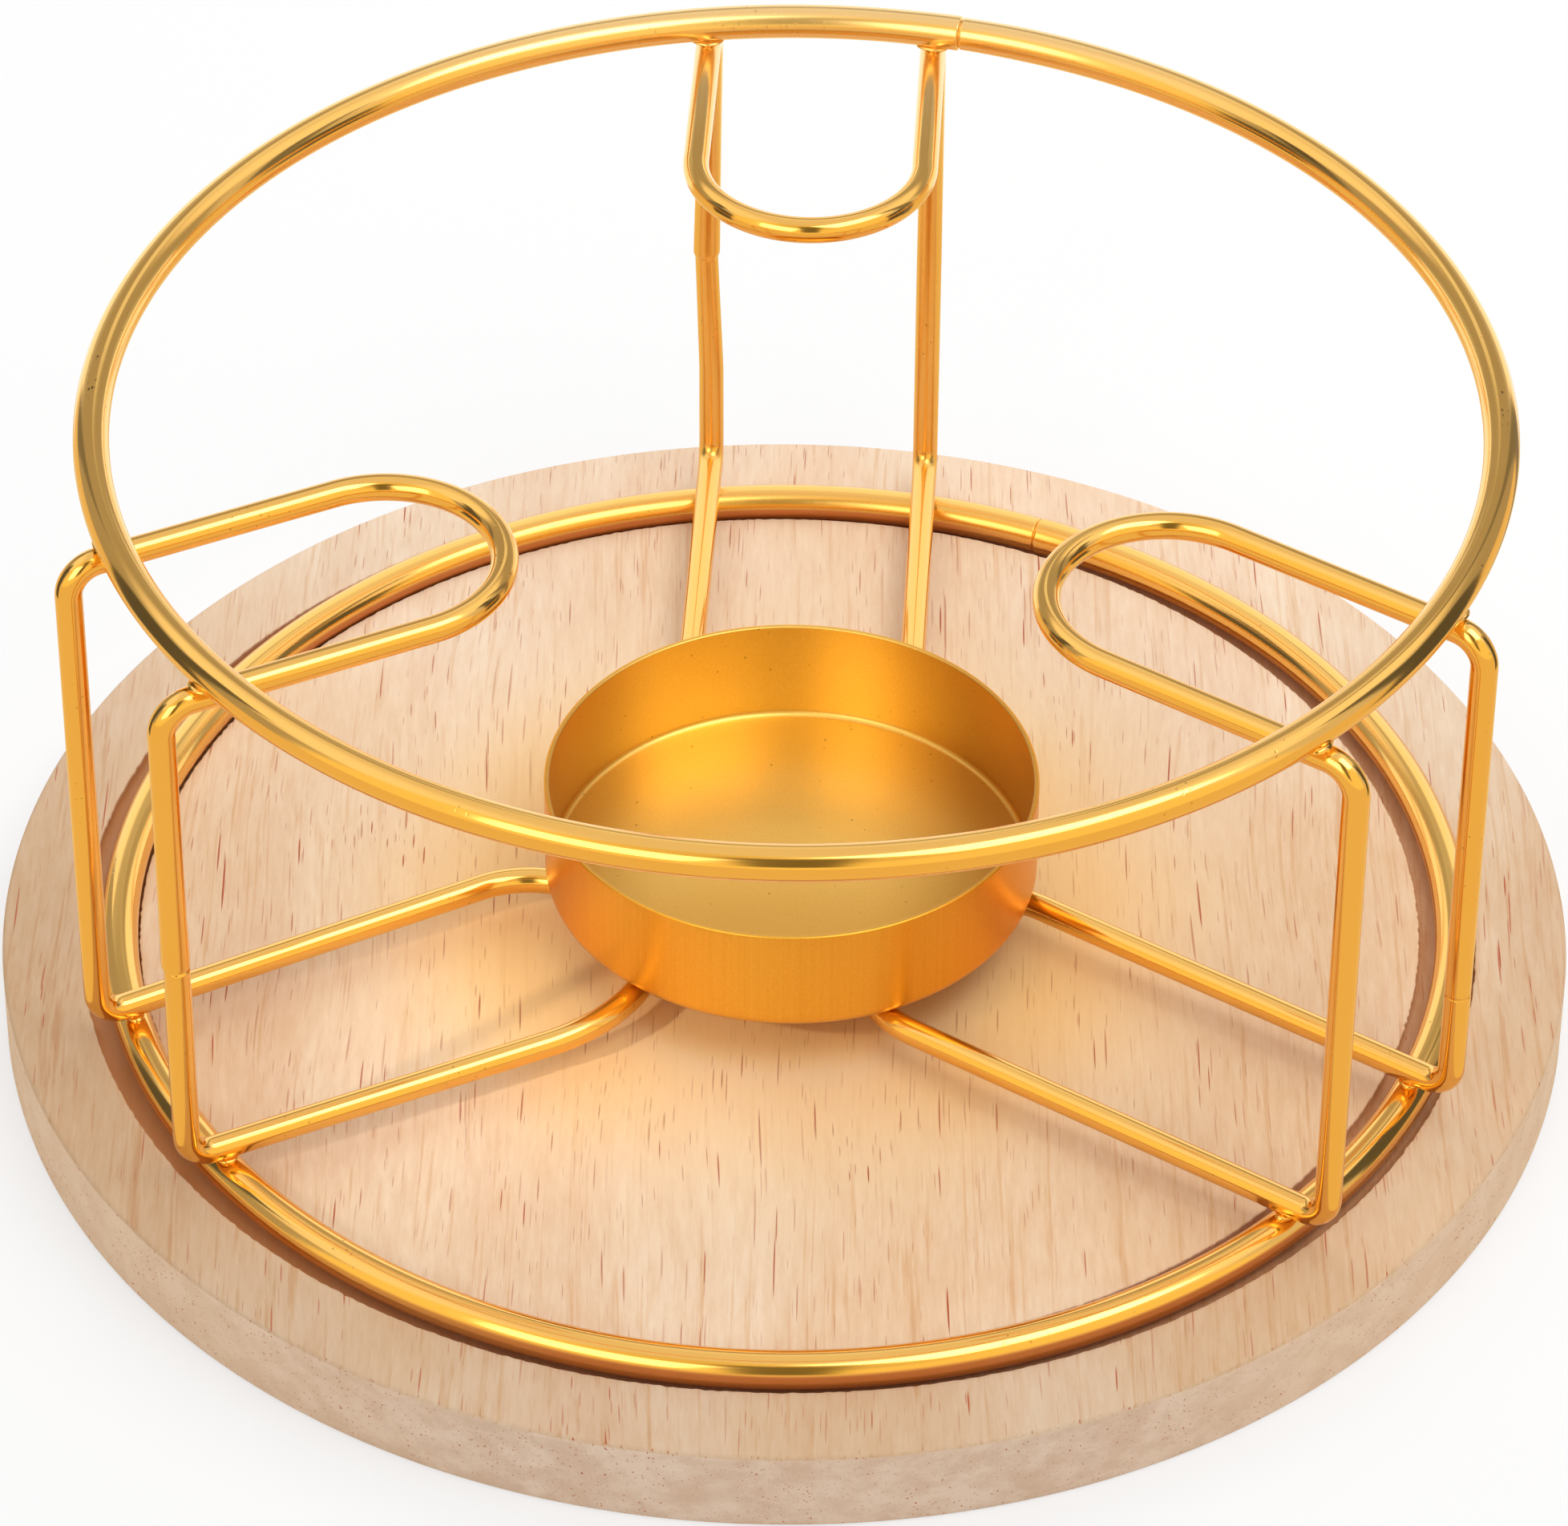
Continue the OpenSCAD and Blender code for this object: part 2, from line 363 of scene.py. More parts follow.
def plated_wire():
    """Bright gold-coloured electroplate on drawn wire: a clear, warm mirror with a little haze."""
    material, tree, shader = new_material("gold_plated_drawn_wire")
    place = add(tree, "ShaderNodeTexCoord", {}, {})["Object"]
    parts = add(tree, SEPARATE, {}, {"Vector": place})
    tone = pattern(tree, NOISE, place, TONE_CELL, {"Detail": 2.0})["Fac"]
    # Painted reflection of the scorched groove on the base ring's lower half, and painted dark
    # reflections among the pits on the sides of the top ring.
    painted_reflection = painted_reflection_share(tree, place, parts)
    pits_and_painted_spots = pits_and_painted_spots_share(tree, place, parts)
    hazy_rear_and_painted_floor_shade = add(tree, MAP_RANGE, SMOOTH, {"Value": parts["Y"], **HAZE_Y})[0]
    # Painted highlight: the high rear wires are paler.
    pale = add(tree, MAP_RANGE, SMOOTH, {"Value": parts["Z"], **PALE_Z, "To Max": PALE_MOST})[0]
    pale = add(tree, MATH, TIMES, {0: pale, 1: hazy_rear_and_painted_floor_shade})[0]
    plate = linear("#F4BE64")
    for share, colour in ((tone, "#F7C670"), (painted_reflection, "#C67434"), (pale, "#FBDDA8"), (pits_and_painted_spots, "#80602F")):
        plate = add(tree, MIX, COLOUR_MIX,
                    {FACTOR: share, FIRST: plate, SECOND: linear(colour)})[MIXED]
    haze = add(tree, MAP_RANGE, {}, {"Value": tone, **HAZE})[0]
    haze = add(tree, MATH, TIMES_PLUS, {0: hazy_rear_and_painted_floor_shade, 1: HAZE_REAR, 2: haze})[0]
    rough = add(tree, MATH, TIMES_PLUS, {0: pits_and_painted_spots, 1: HAZE_MARKS, 2: haze})[0]
    dent = add(tree, "ShaderNodeBump", {"invert": True}, {"Height": pits_and_painted_spots, **DENT})[0]
    metal = add(tree, MAP_RANGE, {}, {"Value": painted_reflection, "To Min": 1.0, "To Max": PAINTED_REFLECTION_METAL})[0]
    tree.links.new(plate, shader.inputs["Base Color"])
    tree.links.new(rough, shader.inputs["Roughness"])
    tree.links.new(dent, shader.inputs["Normal"])
    tree.links.new(metal, shader.inputs["Metallic"])
    return material


wire_gold = plated_wire()
print("material:", wire_gold.name)

# %% [markdown]
# A ring is a circle of wire whose two ends were butted and welded. A torus primitive would be
# perfect all round, so instead the wire's radius is a function of the angle, with a narrow
# crack and a small step at the weld.

# %% The two rings
WIRE_SIDES = 40
RING_STEPS = 720
# Extra steps around a seam, the angle that they spread over, and how many crack widths it takes
# for the step between two wire ends to fade out.
SEAM_STEPS = 61
SEAM_SPREAD = 0.03
STEP_FADE = 40
TOP_SEAM = {"seam_at": np.radians(75.6), "crack_w": 0.10, "crack_depth": 0.22, "step": 0.06}
BASE_SEAM = {"seam_at": np.radians(66.5), "crack_w": 0.10, "crack_depth": 0.20, "step": -0.04}
REAR_PUSH = 0.4


def seam(run, crack_w, crack_depth, step):
    """Change of a wire's radius near a butt joint: a narrow crack, and a step that fades out."""
    crack = -crack_depth * np.exp(-((run / crack_w) ** 2))
    return crack + step * np.tanh(run / crack_w) * np.exp(-((run / (STEP_FADE * crack_w)) ** 2))


def tube(middles, side, radius):
    """A wire around a closed path: each point goes out from the path by the radius, turned around
    from the side direction to the direction square to it and to the path."""
    ahead = np.roll(middles, -1, 0) - np.roll(middles, 1, 0)
    ahead /= np.linalg.norm(ahead, axis=1, keepdims=True)
    over = np.cross(side, ahead)
    over /= np.linalg.norm(over, axis=1, keepdims=True)
    turn = np.linspace(0, 2 * np.pi, WIRE_SIDES, endpoint=False)[None, :, None]
    out = np.cos(turn) * side[:, None] + np.sin(turn) * over[:, None]
    return middles[:, None] + radius[:, None, None] * out


def ring_grid(ring, seam_at, crack_w, crack_depth, step, pushed=0.0):
    """A ring of wire as a tube around a circle, with its steps crowded together at the seam and its
    rear half pushed back."""
    even = np.linspace(-np.pi, np.pi, RING_STEPS, endpoint=False)
    crowd = np.linspace(-1, 1, SEAM_STEPS) ** 3 * SEAM_SPREAD
    turn = np.unique(np.concatenate([even, crowd]))
    side = np.stack([np.cos(turn + seam_at), np.sin(turn + seam_at), 0 * turn], -1)
    radius = ring["wire"] / 2 + seam(turn * ring["radius"], crack_w, crack_depth, step)
    middles = ring["middle"] + ring["radius"] * side
    middles[:, 1] += pushed * np.maximum(side[:, 1], 0) ** 2
    return tube(middles, side, radius)


skin("top_ring_wire", [ring_grid(top_ring, **TOP_SEAM)], True,
     wire_gold, "stand", ["top_ring"])
skin("base_ring_wire", [ring_grid(base_ring, **BASE_SEAM, pushed=REAR_PUSH)], True,
     wire_gold, "stand", ["base_ring"])

# %% [markdown]
# A bracket is one closed loop of thinner wire: feet that meet in a U under the cup, two posts,
# and a flat loop at the top that the pot stands on. A curve with a bevel could draw it, but its
# twist is hard to hold. Seen from above the bracket is a long oval, so the direction straight out
# from the oval is level everywhere, and that is the tube's side direction. The ends of each wire
# were butted on a post, where a small step or kink shows.

# %% The path of a bracket
BRACKET_WIRE = 2.5
LIMB_Y = 11.0
POST_OUT = 3.2
BEND_LOW = 2.5
BEND_HIGH = 3.0
FOOT_Z = bracket_low[2] + BRACKET_WIRE / 2
LOOP_Z = bracket_high[2] - BRACKET_WIRE / 2
POST_R = base_ring["radius"] + POST_OUT
STRAIGHT_STEPS, BEND_STEPS, POST_STEPS, END_STEPS = 60, 24, 420, 90


def arc(middle, radius, start, end, steps, upright):
    """Points of a circle between two angles, in the upright plane of a limb or lying level."""
    turn = np.radians(np.linspace(start, end, steps))
    across, along = radius * np.cos(turn), radius * np.sin(turn)
    still = np.zeros(steps)
    offsets = (across, still, along) if upright else (across, along, still)
    return np.array(middle) + np.stack(offsets, -1)


def limb(side, foot_u, loop_u):
    """One side of a bracket from its foot to its loop: foot, bend, post, bend and loop limb."""
    y = side * LIMB_Y
    low_u, low_z = POST_R - BEND_LOW, FOOT_Z + BEND_LOW
    high_u, high_z = POST_R - BEND_HIGH, LOOP_Z - BEND_HIGH
    foot = np.linspace((foot_u, y, FOOT_Z), (low_u, y, FOOT_Z), STRAIGHT_STEPS)
    low = arc((low_u, y, low_z), BEND_LOW, -90, 0, BEND_STEPS, True)
    post = np.linspace((POST_R, y, low_z), (POST_R, y, high_z), POST_STEPS)
    high = arc((high_u, y, high_z), BEND_HIGH, 0, 90, BEND_STEPS, True)
    loop = np.linspace((high_u, y, LOOP_Z), (loop_u, y, LOOP_Z), STRAIGHT_STEPS)
    return np.concatenate([foot[:-1], low[:-1], post[:-1], high[:-1], loop[:-1]])


def bracket_path(foot_in, long, loop_u):
    """The whole loop of a bracket in its own frame: out along one limb, round the loop's U-shaped
    end, back along the other limb and round the end under the cup, one half of which may be long."""
    out = limb(1, foot_in + long, loop_u)
    loop_end = arc((loop_u, 0, LOOP_Z), LIMB_Y, 90, 270, END_STEPS, False)
    back = np.concatenate([limb(-1, foot_in + LIMB_Y, loop_u)[1:], [(loop_u, -LIMB_Y, LOOP_Z)]])[::-1]
    foot_end = arc((LIMB_Y, 0, FOOT_Z), LIMB_Y, 270, 90, END_STEPS, False)
    foot_end[:, 0] = foot_in + foot_end[:, 0] * np.where(foot_end[:, 1] > 0, long / LIMB_Y, 1)
    return np.concatenate([out, loop_end[:-1], back, foot_end[:-1]])


def outward(path, foot_in, long, loop_u):
    """The level direction straight out from the bracket's oval: square to a U-shaped end along it,
    and square to the limbs elsewhere."""
    low = path[:, 2] < (FOOT_Z + LOOP_Z) / 2
    half = np.where(low & (path[:, 1] > 0), long, LIMB_Y)
    along = np.minimum(path[:, 0] - np.where(low, foot_in + half, loop_u), 0) * (LIMB_Y / half) ** 2
    side = np.stack([along, path[:, 1], 0 * along], -1)
    return side / np.linalg.norm(side, axis=1, keepdims=True)


print("foot and loop heights, mm:", FOOT_Z.round(2), LOOP_Z.round(2))

# %% The three brackets
# Direction in degrees and sideways slip of each bracket, how far its feet lap under the cup, how
# long the U of its feet is on one side, where its loop ends, and how far one foot is bent out.
BRACKETS = {
    "rear": {"turn": 87.2, "slip": 0.7, "lap": 12.3, "long": 11.0, "reach": 33.0, "spread": 0.0},
    "left": {"turn": 206.1, "slip": 0.7, "lap": 7.5, "long": 15.0, "reach": 30.3, "spread": 1.4},
    "right": {"turn": 325.8, "slip": -0.9, "lap": 12.3, "long": 11.0, "reach": 30.1, "spread": 0.0},
}
# Height of each butt joint, its crack and its step, and how far the post leans out below and above.
JOINTS = {
    "rear": {"height": 37.6, "crack_w": 0.25, "crack": 0.05, "step": 0.09, "kink": (0.45, 0.45)},
    "left": {"height": 35.3, "crack_w": 0.10, "crack": 0.10, "step": 0.06, "kink": (0.2, -0.05)},
    "right": {"height": 23.9, "crack_w": 0.08, "crack": 0.16, "step": 0.0, "kink": (0.05, 0.0)},
}
KINK_REACH = 14.0
BUTT = 0.12
CLOSE = 0.01


def turned(x, y, z, degrees):
    """Points turned about the upright axis."""
    angle = np.radians(degrees)
    return np.stack([x * np.cos(angle) - y * np.sin(angle), x * np.sin(angle) + y * np.cos(angle), z], -1)


def to_place(points, turn, slip):
    """From a bracket's own frame to its place on the stand: slipped sideways, then turned."""
    return np.array((*CUP_MIDDLE, 0)) + turned(points[:, 0], points[:, 1] + slip, points[:, 2], turn)


def bracket_grid(turn, slip, lap, long, reach, spread, joint):
    """A bracket's tube, with one foot bent a little outwards and the butt joint on one of its posts."""
    foot_in = CUP_R - lap
    loop_u = reach + LIMB_Y
    path = bracket_path(foot_in, long, loop_u)
    side = outward(path, foot_in, long, loop_u)
    foot_start, foot_stop = POST_R - BEND_LOW, foot_in + LIMB_Y
    inward = np.clip((foot_start - path[:, 0]) / (foot_start - foot_stop), 0, 1)
    bent = (path[:, 2] == FOOT_Z) & (path[:, 1] < 0)
    path[:, 1] *= 1 + np.where(bent, inward * spread / LIMB_Y, 0)
    on_post = (path[:, 1] > 0) & (path[:, 0] > POST_R - CLOSE)
    height = joint["height"]
    change = seam(path[:, 2] - height, joint["crack_w"], joint["crack"], joint["step"])
    radius = BRACKET_WIRE / 2 + np.where(on_post, change, 0)
    knees = (height - KINK_REACH, height - BUTT, height + BUTT, LOOP_Z - BEND_HIGH)
    lean = np.interp(path[:, 2], knees, (0, *joint["kink"], 0))
    path = path + np.where(on_post, lean, 0)[:, None] * side
    place = to_place(path, turn, slip)
    place_side = to_place(path + side, turn, slip) - place
    return tube(place, place_side, radius)


for name, place in BRACKETS.items():
    skin(f"bracket_{name}_wire", [bracket_grid(**place, joint=JOINTS[name])], True,
         wire_gold, "stand", [f"bracket_{name}"])

# %% [markdown]
# The welds are small beads that ran out between the crossing wires. Plain balls would look like
# pearls, so each is a flattened ball whose radius changes gently from side to side, like a drop
# that cooled on the wire.

# %% Weld beads
BEAD_ROWS = 17
BEAD_COLUMNS = 32
SWELLS = (0.06, 0.05, 0.04)
BASE_BEAD = (1.0, 1.2, 0.4)
TOP_BEAD = (1.4, 1.7, 0.45)
BASE_SEED, TOP_SEED = 3, 5


def crossing(ring, turn, slip, side):
    """The point where a bracket's limb crosses a ring, from the circle's equation along the limb."""
    angle = np.radians(turn)
    along = np.array((np.cos(angle), np.sin(angle)))
    across = np.array((-np.sin(angle), np.cos(angle)))
    start = CUP_MIDDLE + (slip + side * LIMB_Y) * across - ring["middle"][:2]
    reach = np.sqrt(ring["radius"] ** 2 - (start @ across) ** 2) - start @ along
    return ring["middle"][:2] + start + reach * along


def bead(middle, turn, half, random):
    """A flattened ball with three half sizes, turned to its limb, and uneven by three soft waves."""
    polar = np.linspace(0, np.pi, BEAD_ROWS + 2)[1:-1, None]
    around = np.linspace(0, 2 * np.pi, BEAD_COLUMNS, endpoint=False)[None, :]
    phase = random.uniform(0, 2 * np.pi, 3)
    swell = 1 + SWELLS[0] * np.cos(2 * around + phase[0])
    swell = swell + SWELLS[1] * np.cos(3 * around + phase[1] + polar)
    swell = swell + SWELLS[2] * np.sin(4 * polar + phase[2])
    x = half[0] * swell * np.sin(polar) * np.cos(around)
    y = half[1] * swell * np.sin(polar) * np.sin(around)
    z = half[2] * swell * np.cos(polar) + 0 * around
    return np.array(middle) + turned(x, y, z, turn)


def ring_beads(ring, limb_z, half, seed):
    """One bead at each of the six crossings, level with the gap between ring and limb."""
    random = np.random.default_rng(seed)
    ring_z = ring["middle"][2]
    level = ring_z + np.sign(limb_z - ring_z) * ring["wire"] / 2
    beads = []
    for place in BRACKETS.values():
        for side in (-1, 1):
            middle = (*crossing(ring, place["turn"], place["slip"], side), level)
            beads.append(bead(middle, place["turn"], half, random))
    return beads


skin("base_ring_beads", ring_beads(base_ring, FOOT_Z, BASE_BEAD, BASE_SEED), False,
     wire_gold, "stand", ["base_ring_welds"])
skin("top_ring_beads", ring_beads(top_ring, LOOP_Z, TOP_BEAD, TOP_SEED), False,
     wire_gold, "stand", ["top_ring_welds"])

# %% [markdown]
# The cup is stamped from thin sheet and plated with a satin face. Its outside was brushed up and down,
# and its floor is finely pitted. A brushed face could be drawn as lines in colour, but what the eye sees
# is the spread of the highlights, so the lines go into roughness and bump, and only faintly into the
# colour. Painted shade darkens the plate at its sides, inside and out, and on the front of the floor.

# %% Satin plated sheet
# The size of a cell and the detail of each pattern on the sheet. Real brush lines and grit are
# finer, and are drawn as coarse as they need to show.
SHEET_PATTERNS = {
    "brush": ((0.35, 0.35, 30), 3.0),
    "grit": ((0.22, 0.22, 0.22), 2.0),
    "broad": ((12, 12, 12), 2.0),
}
SPECK_CELL = (1.3, 1.3, 1.3)
SPECK_FADES = span(0.07, 0.12)
SPECK_CHANCE = span(0.3, 1)
SPECK_MOST = 0.7
# From where to where the wall's face counts as outside, where the painted shade at its sides and on the
# front of the floor begins, and how far left of the middle the painted shade leaves the plate brightest.
OUTSIDE_R = span(CUP_R - 0.35, CUP_R - 0.15, MM)
BRUSH_LEAST = 0.15
UNSHADED_LEFT = 2.5 * MM
BESIDE_X = span(9, 23, MM)
FLOOR_SHADE_Y = span(-10, 2, MM)
BRUSHED = {"To Min": 0.40, "To Max": 0.24}
BRUSH_RELIEF = {"Strength": 0.25, "Distance": 0.03 * MM}
GRIT_RELIEF = {"Strength": 0.15, "Distance": 0.02 * MM}


def satin_sheet():
    """Satin gold-coloured plate on stamped sheet: blurred reflections, upright brush lines, fine pits,
    and painted shade at its sides and on the front of the floor.
    """
    material, tree, shader = new_material("satin_gold_plated_sheet")
    place = add(tree, "ShaderNodeTexCoord", {}, {})["Object"]
    patterns = {}
    for name, (cell, detail) in SHEET_PATTERNS.items():
        patterns[name] = pattern(tree, NOISE, place, cell, {"Detail": detail})["Fac"]
    middle = add(tree, VECTOR_MATH, MINUS, {0: place, 1: (*(CUP_MIDDLE * MM), 0.0)})[0]
    parts = add(tree, SEPARATE, {}, {"Vector": middle})
    level = add(tree, VECTOR_MATH, TIMES, {0: middle, 1: (1.0, 1.0, 0.0)})[0]
    out = add(tree, VECTOR_MATH, LENGTH, {0: level})["Value"]
    outside = add(tree, MAP_RANGE, {}, {"Value": out, **OUTSIDE_R, "To Min": BRUSH_LEAST})[0]
    inside = add(tree, MATH, MINUS, {0: 1.0, 1: outside})[0]
    brush = add(tree, MATH, TIMES, {0: patterns["brush"], 1: outside})[0]
    # Painted shade: the plate is darkened at its sides, inside and out, and inside on the front of the
    # floor.
    beside = add(tree, MATH, PLUS, {0: parts["X"], 1: UNSHADED_LEFT})[0]
    beside = add(tree, MATH, UNSIGNED, {0: beside})[0]
    beside = add(tree, MAP_RANGE, SMOOTH, {"Value": beside, **BESIDE_X})[0]
    painted_inner_shade = add(tree, MATH, TIMES, {0: beside, 1: inside})[0]
    painted_outer_shade = add(tree, MATH, TIMES, {0: beside, 1: outside})[0]
    hazy_rear_and_painted_floor_shade = add(tree, MAP_RANGE, SMOOTH, {"Value": parts["Y"], **FLOOR_SHADE_Y, **FALLING})[0]
    hazy_rear_and_painted_floor_shade = add(tree, MATH, TIMES, {0: hazy_rear_and_painted_floor_shade, 1: inside})[0]
    speck_cells = pattern(tree, VORONOI, place, SPECK_CELL, {})
    chance = add(tree, "ShaderNodeSeparateColor", {}, {"Color": speck_cells["Color"]})["Red"]
    chance = add(tree, MAP_RANGE, {}, {"Value": chance, **SPECK_CHANCE, "To Max": SPECK_MOST})[0]
    speck = add(tree, MAP_RANGE, SMOOTH,
                {"Value": speck_cells["Distance"], **SPECK_FADES,
                 "To Min": chance, "To Max": 0.0})[0]
    speck = add(tree, MATH, TIMES, {0: speck, 1: inside})[0]
    layers = ((COLOUR_MIX, patterns["broad"], "#FFDF88"), (COLOUR_MIX, outside, "#FFC755"),
              (MULTIPLIED, painted_inner_shade, "#CFBCA8"), (MULTIPLIED, painted_outer_shade, "#F6E0C0"),
              (MULTIPLIED, hazy_rear_and_painted_floor_shade, "#E9DAC6"), (COLOUR_MIX, speck, "#9A7433"),
              (MULTIPLIED, patterns["grit"], "#EFE6D6"), (MULTIPLIED, brush, "#F3EBDD"))
    plate = linear("#FFD87A")
    for blend, share, colour in layers:
        plate = add(tree, MIX, blend,
                    {FACTOR: share, FIRST: plate, SECOND: linear(colour)})[MIXED]
    rough = add(tree, MAP_RANGE, {}, {"Value": brush, **BRUSHED})[0]
    lines = add(tree, "ShaderNodeBump", {}, {"Height": brush, **BRUSH_RELIEF})[0]
    relief = add(tree, "ShaderNodeBump", {},
                 {"Height": patterns["grit"], **GRIT_RELIEF, "Normal": lines})[0]
    tree.links.new(plate, shader.inputs["Base Color"])
    tree.links.new(rough, shader.inputs["Roughness"])
    tree.links.new(relief, shader.inputs["Normal"])
    shader.inputs["Metallic"].default_value = 1.0
    return material


cup_gold = satin_sheet()
print("material:", cup_gold.name)

# %% [markdown]
# A stamped cup is round, so one half section turned about its upright axis gives all of it: the
# underside, the rounded bottom edge, the wall, the rim of the sheet and the inside. A cylinder with
# a Solidify modifier would do as well, but here each rounding has its own size. The welds
# under the cup stay as they are in the frame, with the wire's plate on them.

# %% The candle cup
SHEET = 0.5
CUP_ROUND = 1.5
FLOOR_ROUND = 0.6
RIM_ROUND = 0.15
CUP_COLUMNS = 360
FLAT_STEPS, RIM_STEPS = 12, 6
# Radius of the row next to the point that closes a turned piece at its axis.
HUB = 0.5


def revolve(profile, middle, columns):
    """Turns a profile of radius and height around the upright line through a middle."""
    turn = np.linspace(0, 2 * np.pi, columns, endpoint=False)[None, :]
    radius, height = profile[:, :1], profile[:, 1:]
    x = middle[0] + radius * np.cos(turn)
    y = middle[1] + radius * np.sin(turn)
    return np.stack([x, y, height + 0 * turn], -1)


def turned_corner(radius, middle_r, middle_z, start, end, steps):
    """A quarter or half circle in a profile, as radius and height."""
    turn = np.radians(np.linspace(start, end, steps))
    return np.stack([middle_r + radius * np.cos(turn), middle_z + radius * np.sin(turn)], -1)


def cup_profile():
    """From the middle of the underside, round the bottom edge, up the wall, over the rounded rim
    and down the inside to the middle of the floor."""
    low, high = cup_low[2], cup_high[2]
    edge, inside = CUP_R - CUP_ROUND, CUP_R - SHEET
    rim_z, floor_z = high - RIM_ROUND, low + SHEET
    floor_r = inside - FLOOR_ROUND
    under = np.linspace((HUB, low), (edge, low), FLAT_STEPS)
    corner = turned_corner(CUP_ROUND, edge, low + CUP_ROUND, -90, 0, FLAT_STEPS)
    wall = np.linspace((CUP_R, low + CUP_ROUND), (CUP_R, rim_z), FLAT_STEPS)
    rim_out = turned_corner(RIM_ROUND, CUP_R - RIM_ROUND, rim_z, 0, 90, RIM_STEPS)
    rim_in = turned_corner(RIM_ROUND, inside + RIM_ROUND, rim_z, 90, 180, RIM_STEPS)
    inner = turned_corner(FLOOR_ROUND, floor_r, floor_z + FLOOR_ROUND, 0, -90, FLAT_STEPS)
    floor = np.linspace((floor_r, floor_z), (HUB, floor_z), FLAT_STEPS)
    return np.concatenate([under[:-1], corner, wall[1:-1], rim_out, rim_in, inner, floor[1:]])


skin("candle_cup_shell", [revolve(cup_profile(), CUP_MIDDLE, CUP_COLUMNS)], False,
     cup_gold, "stand", ["candle_cup"])
hidden_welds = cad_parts["cup_welds"].data.materials
hidden_welds.clear()
hidden_welds.append(wire_gold)

# %% [markdown]
# The board is rubberwood, pale tan with soft bands along the grain. Wood is solid, so its pattern is
# too: cells much longer along the grain than across it run through the top and the edge alike, and
# no map has to be unrolled. A slow sway keeps the grain from running as if ruled.

# %% Grain of the wood
SWAY_CELL = (22, 45, 22)
SWAY = (4 * MM, 0.0, 4 * MM)
PATCH_CELL = (30, 40, 30)
# The size of a cell, the detail and the roughness of each pattern that follows the grain. Real
# fibres are finer, and are drawn as coarse as they need to show.
GRAIN = {
    "bands": ((9, 60, 9), 3.0, 0.5),
    "fibres": ((0.8, 5.0, 0.8), 4.0, 0.65),
    "streaks": ((0.6, 34, 0.6), 3.0, 0.6),
    "crowd": ((5, 22, 5), 2.0, 0.5),
}
# Values of each pattern from which its tone begins to show, and at which it shows in full.
BANDS_SHOW = span(0.35, 0.66)
PATCHES_SHOW = span(0.42, 0.65)
FIBRES_SHOW = span(0.3, 0.75)
STREAKS_SHOW = span(0.52, 0.72)


def wood_grain(tree, place):
    """Coordinates that sway across the grain, and the patterns that follow them."""
    sway = pattern(tree, NOISE, place, SWAY_CELL, {"Detail": 1.0})["Color"]
    grain = add(tree, VECTOR_MATH, TIMES_PLUS, {0: sway, 1: SWAY, 2: place})[0]
    patterns = {}
    for name, (cell, detail, rough) in GRAIN.items():
        patterns[name] = pattern(tree, NOISE, grain, cell, {"Detail": detail, "Roughness": rough})["Fac"]
    return grain, patterns


def wood_tones(tree, place, patterns):
    """Pale wood, toned by bands, broad patches, fibres and streaks, one after another."""
    patches = pattern(tree, NOISE, place, PATCH_CELL, {"Detail": 2.0})["Fac"]
    patches = add(tree, MAP_RANGE, SMOOTH, {"Value": patches, **PATCHES_SHOW})[0]
    bands = add(tree, MAP_RANGE, SMOOTH, {"Value": patterns["bands"], **BANDS_SHOW})[0]
    fibres = add(tree, MAP_RANGE, {}, {"Value": patterns["fibres"], **FIBRES_SHOW})[0]
    streaks = add(tree, MAP_RANGE, SMOOTH, {"Value": patterns["streaks"], **STREAKS_SHOW})[0]
    wood = linear("#F6E0C6")
    for blend, share, colour in ((COLOUR_MIX, bands, "#EFD2B4"), (COLOUR_MIX, patches, "#F0D2B0"),
                                 (MULTIPLIED, fibres, "#F4E8DB"), (MULTIPLIED, streaks, "#F4E5D3")):
        wood = add(tree, MIX, blend,
                   {FACTOR: share, FIRST: wood, SECOND: linear(colour)})[MIXED]
    return wood


print("patterns along the grain:", ", ".join(GRAIN))

# %% [markdown]
# No board has one tone all over, and on this one much of the change by place is painted light. It is a
# little darker at its front sides, painted paler behind, where the back light falls, greyer on the rim
# towards the front-left and the right as painted shade, and warmer around the cup as painted light,
# because the cup's bright gold throws its light on the wood. Soft studio light carries little of that
# warmth, so a part of it is painted into the wood itself. Painting a map by hand could do the same.
# Shares worked out from the place of a point stay sharp at any size.

# %% Tones by place
# Painted light behind: where the wood turns paler, and by how much. Then where it turns a little darker
# at its front sides.
BEHIND_Y = span(0, 45, MM)
PALE_BEHIND = 0.12
BESIDE_BOARD_X = span(18, 46, MM)
BESIDE_LEAST = 0.45
# Painted light thrown by the cup: distances from the middle over which the painted warm light fades, how
# far aside the deeper painted glow grows, and the part of it that lies under the cup.
CUP_LIGHT_R = span(22, 54, MM)
CUP_LIGHT_MOST = 0.75
CUP_GLOW_R = span(26, 44, MM)
FLANK_X = span(5, 25, MM)
FLANK_LEAST = 0.3
UNDER_R = span(19, 27, MM)
# Painted shade on the rim: the direction of the side that is shaded most, and the distances over which it
# greys.
RIM_SHADE_AT = np.radians(225)
RIM_SHADE_WAY = (np.cos(RIM_SHADE_AT), np.sin(RIM_SHADE_AT), 0.0)
RIM_SHADE_SPAN = span(-50, 48, MM)
RIM_SHADE_MOST = 0.95
RIGHT_X = span(40, 72, MM)
RIGHT_MOST = 0.5
RIM_R = span(62, 69, MM)


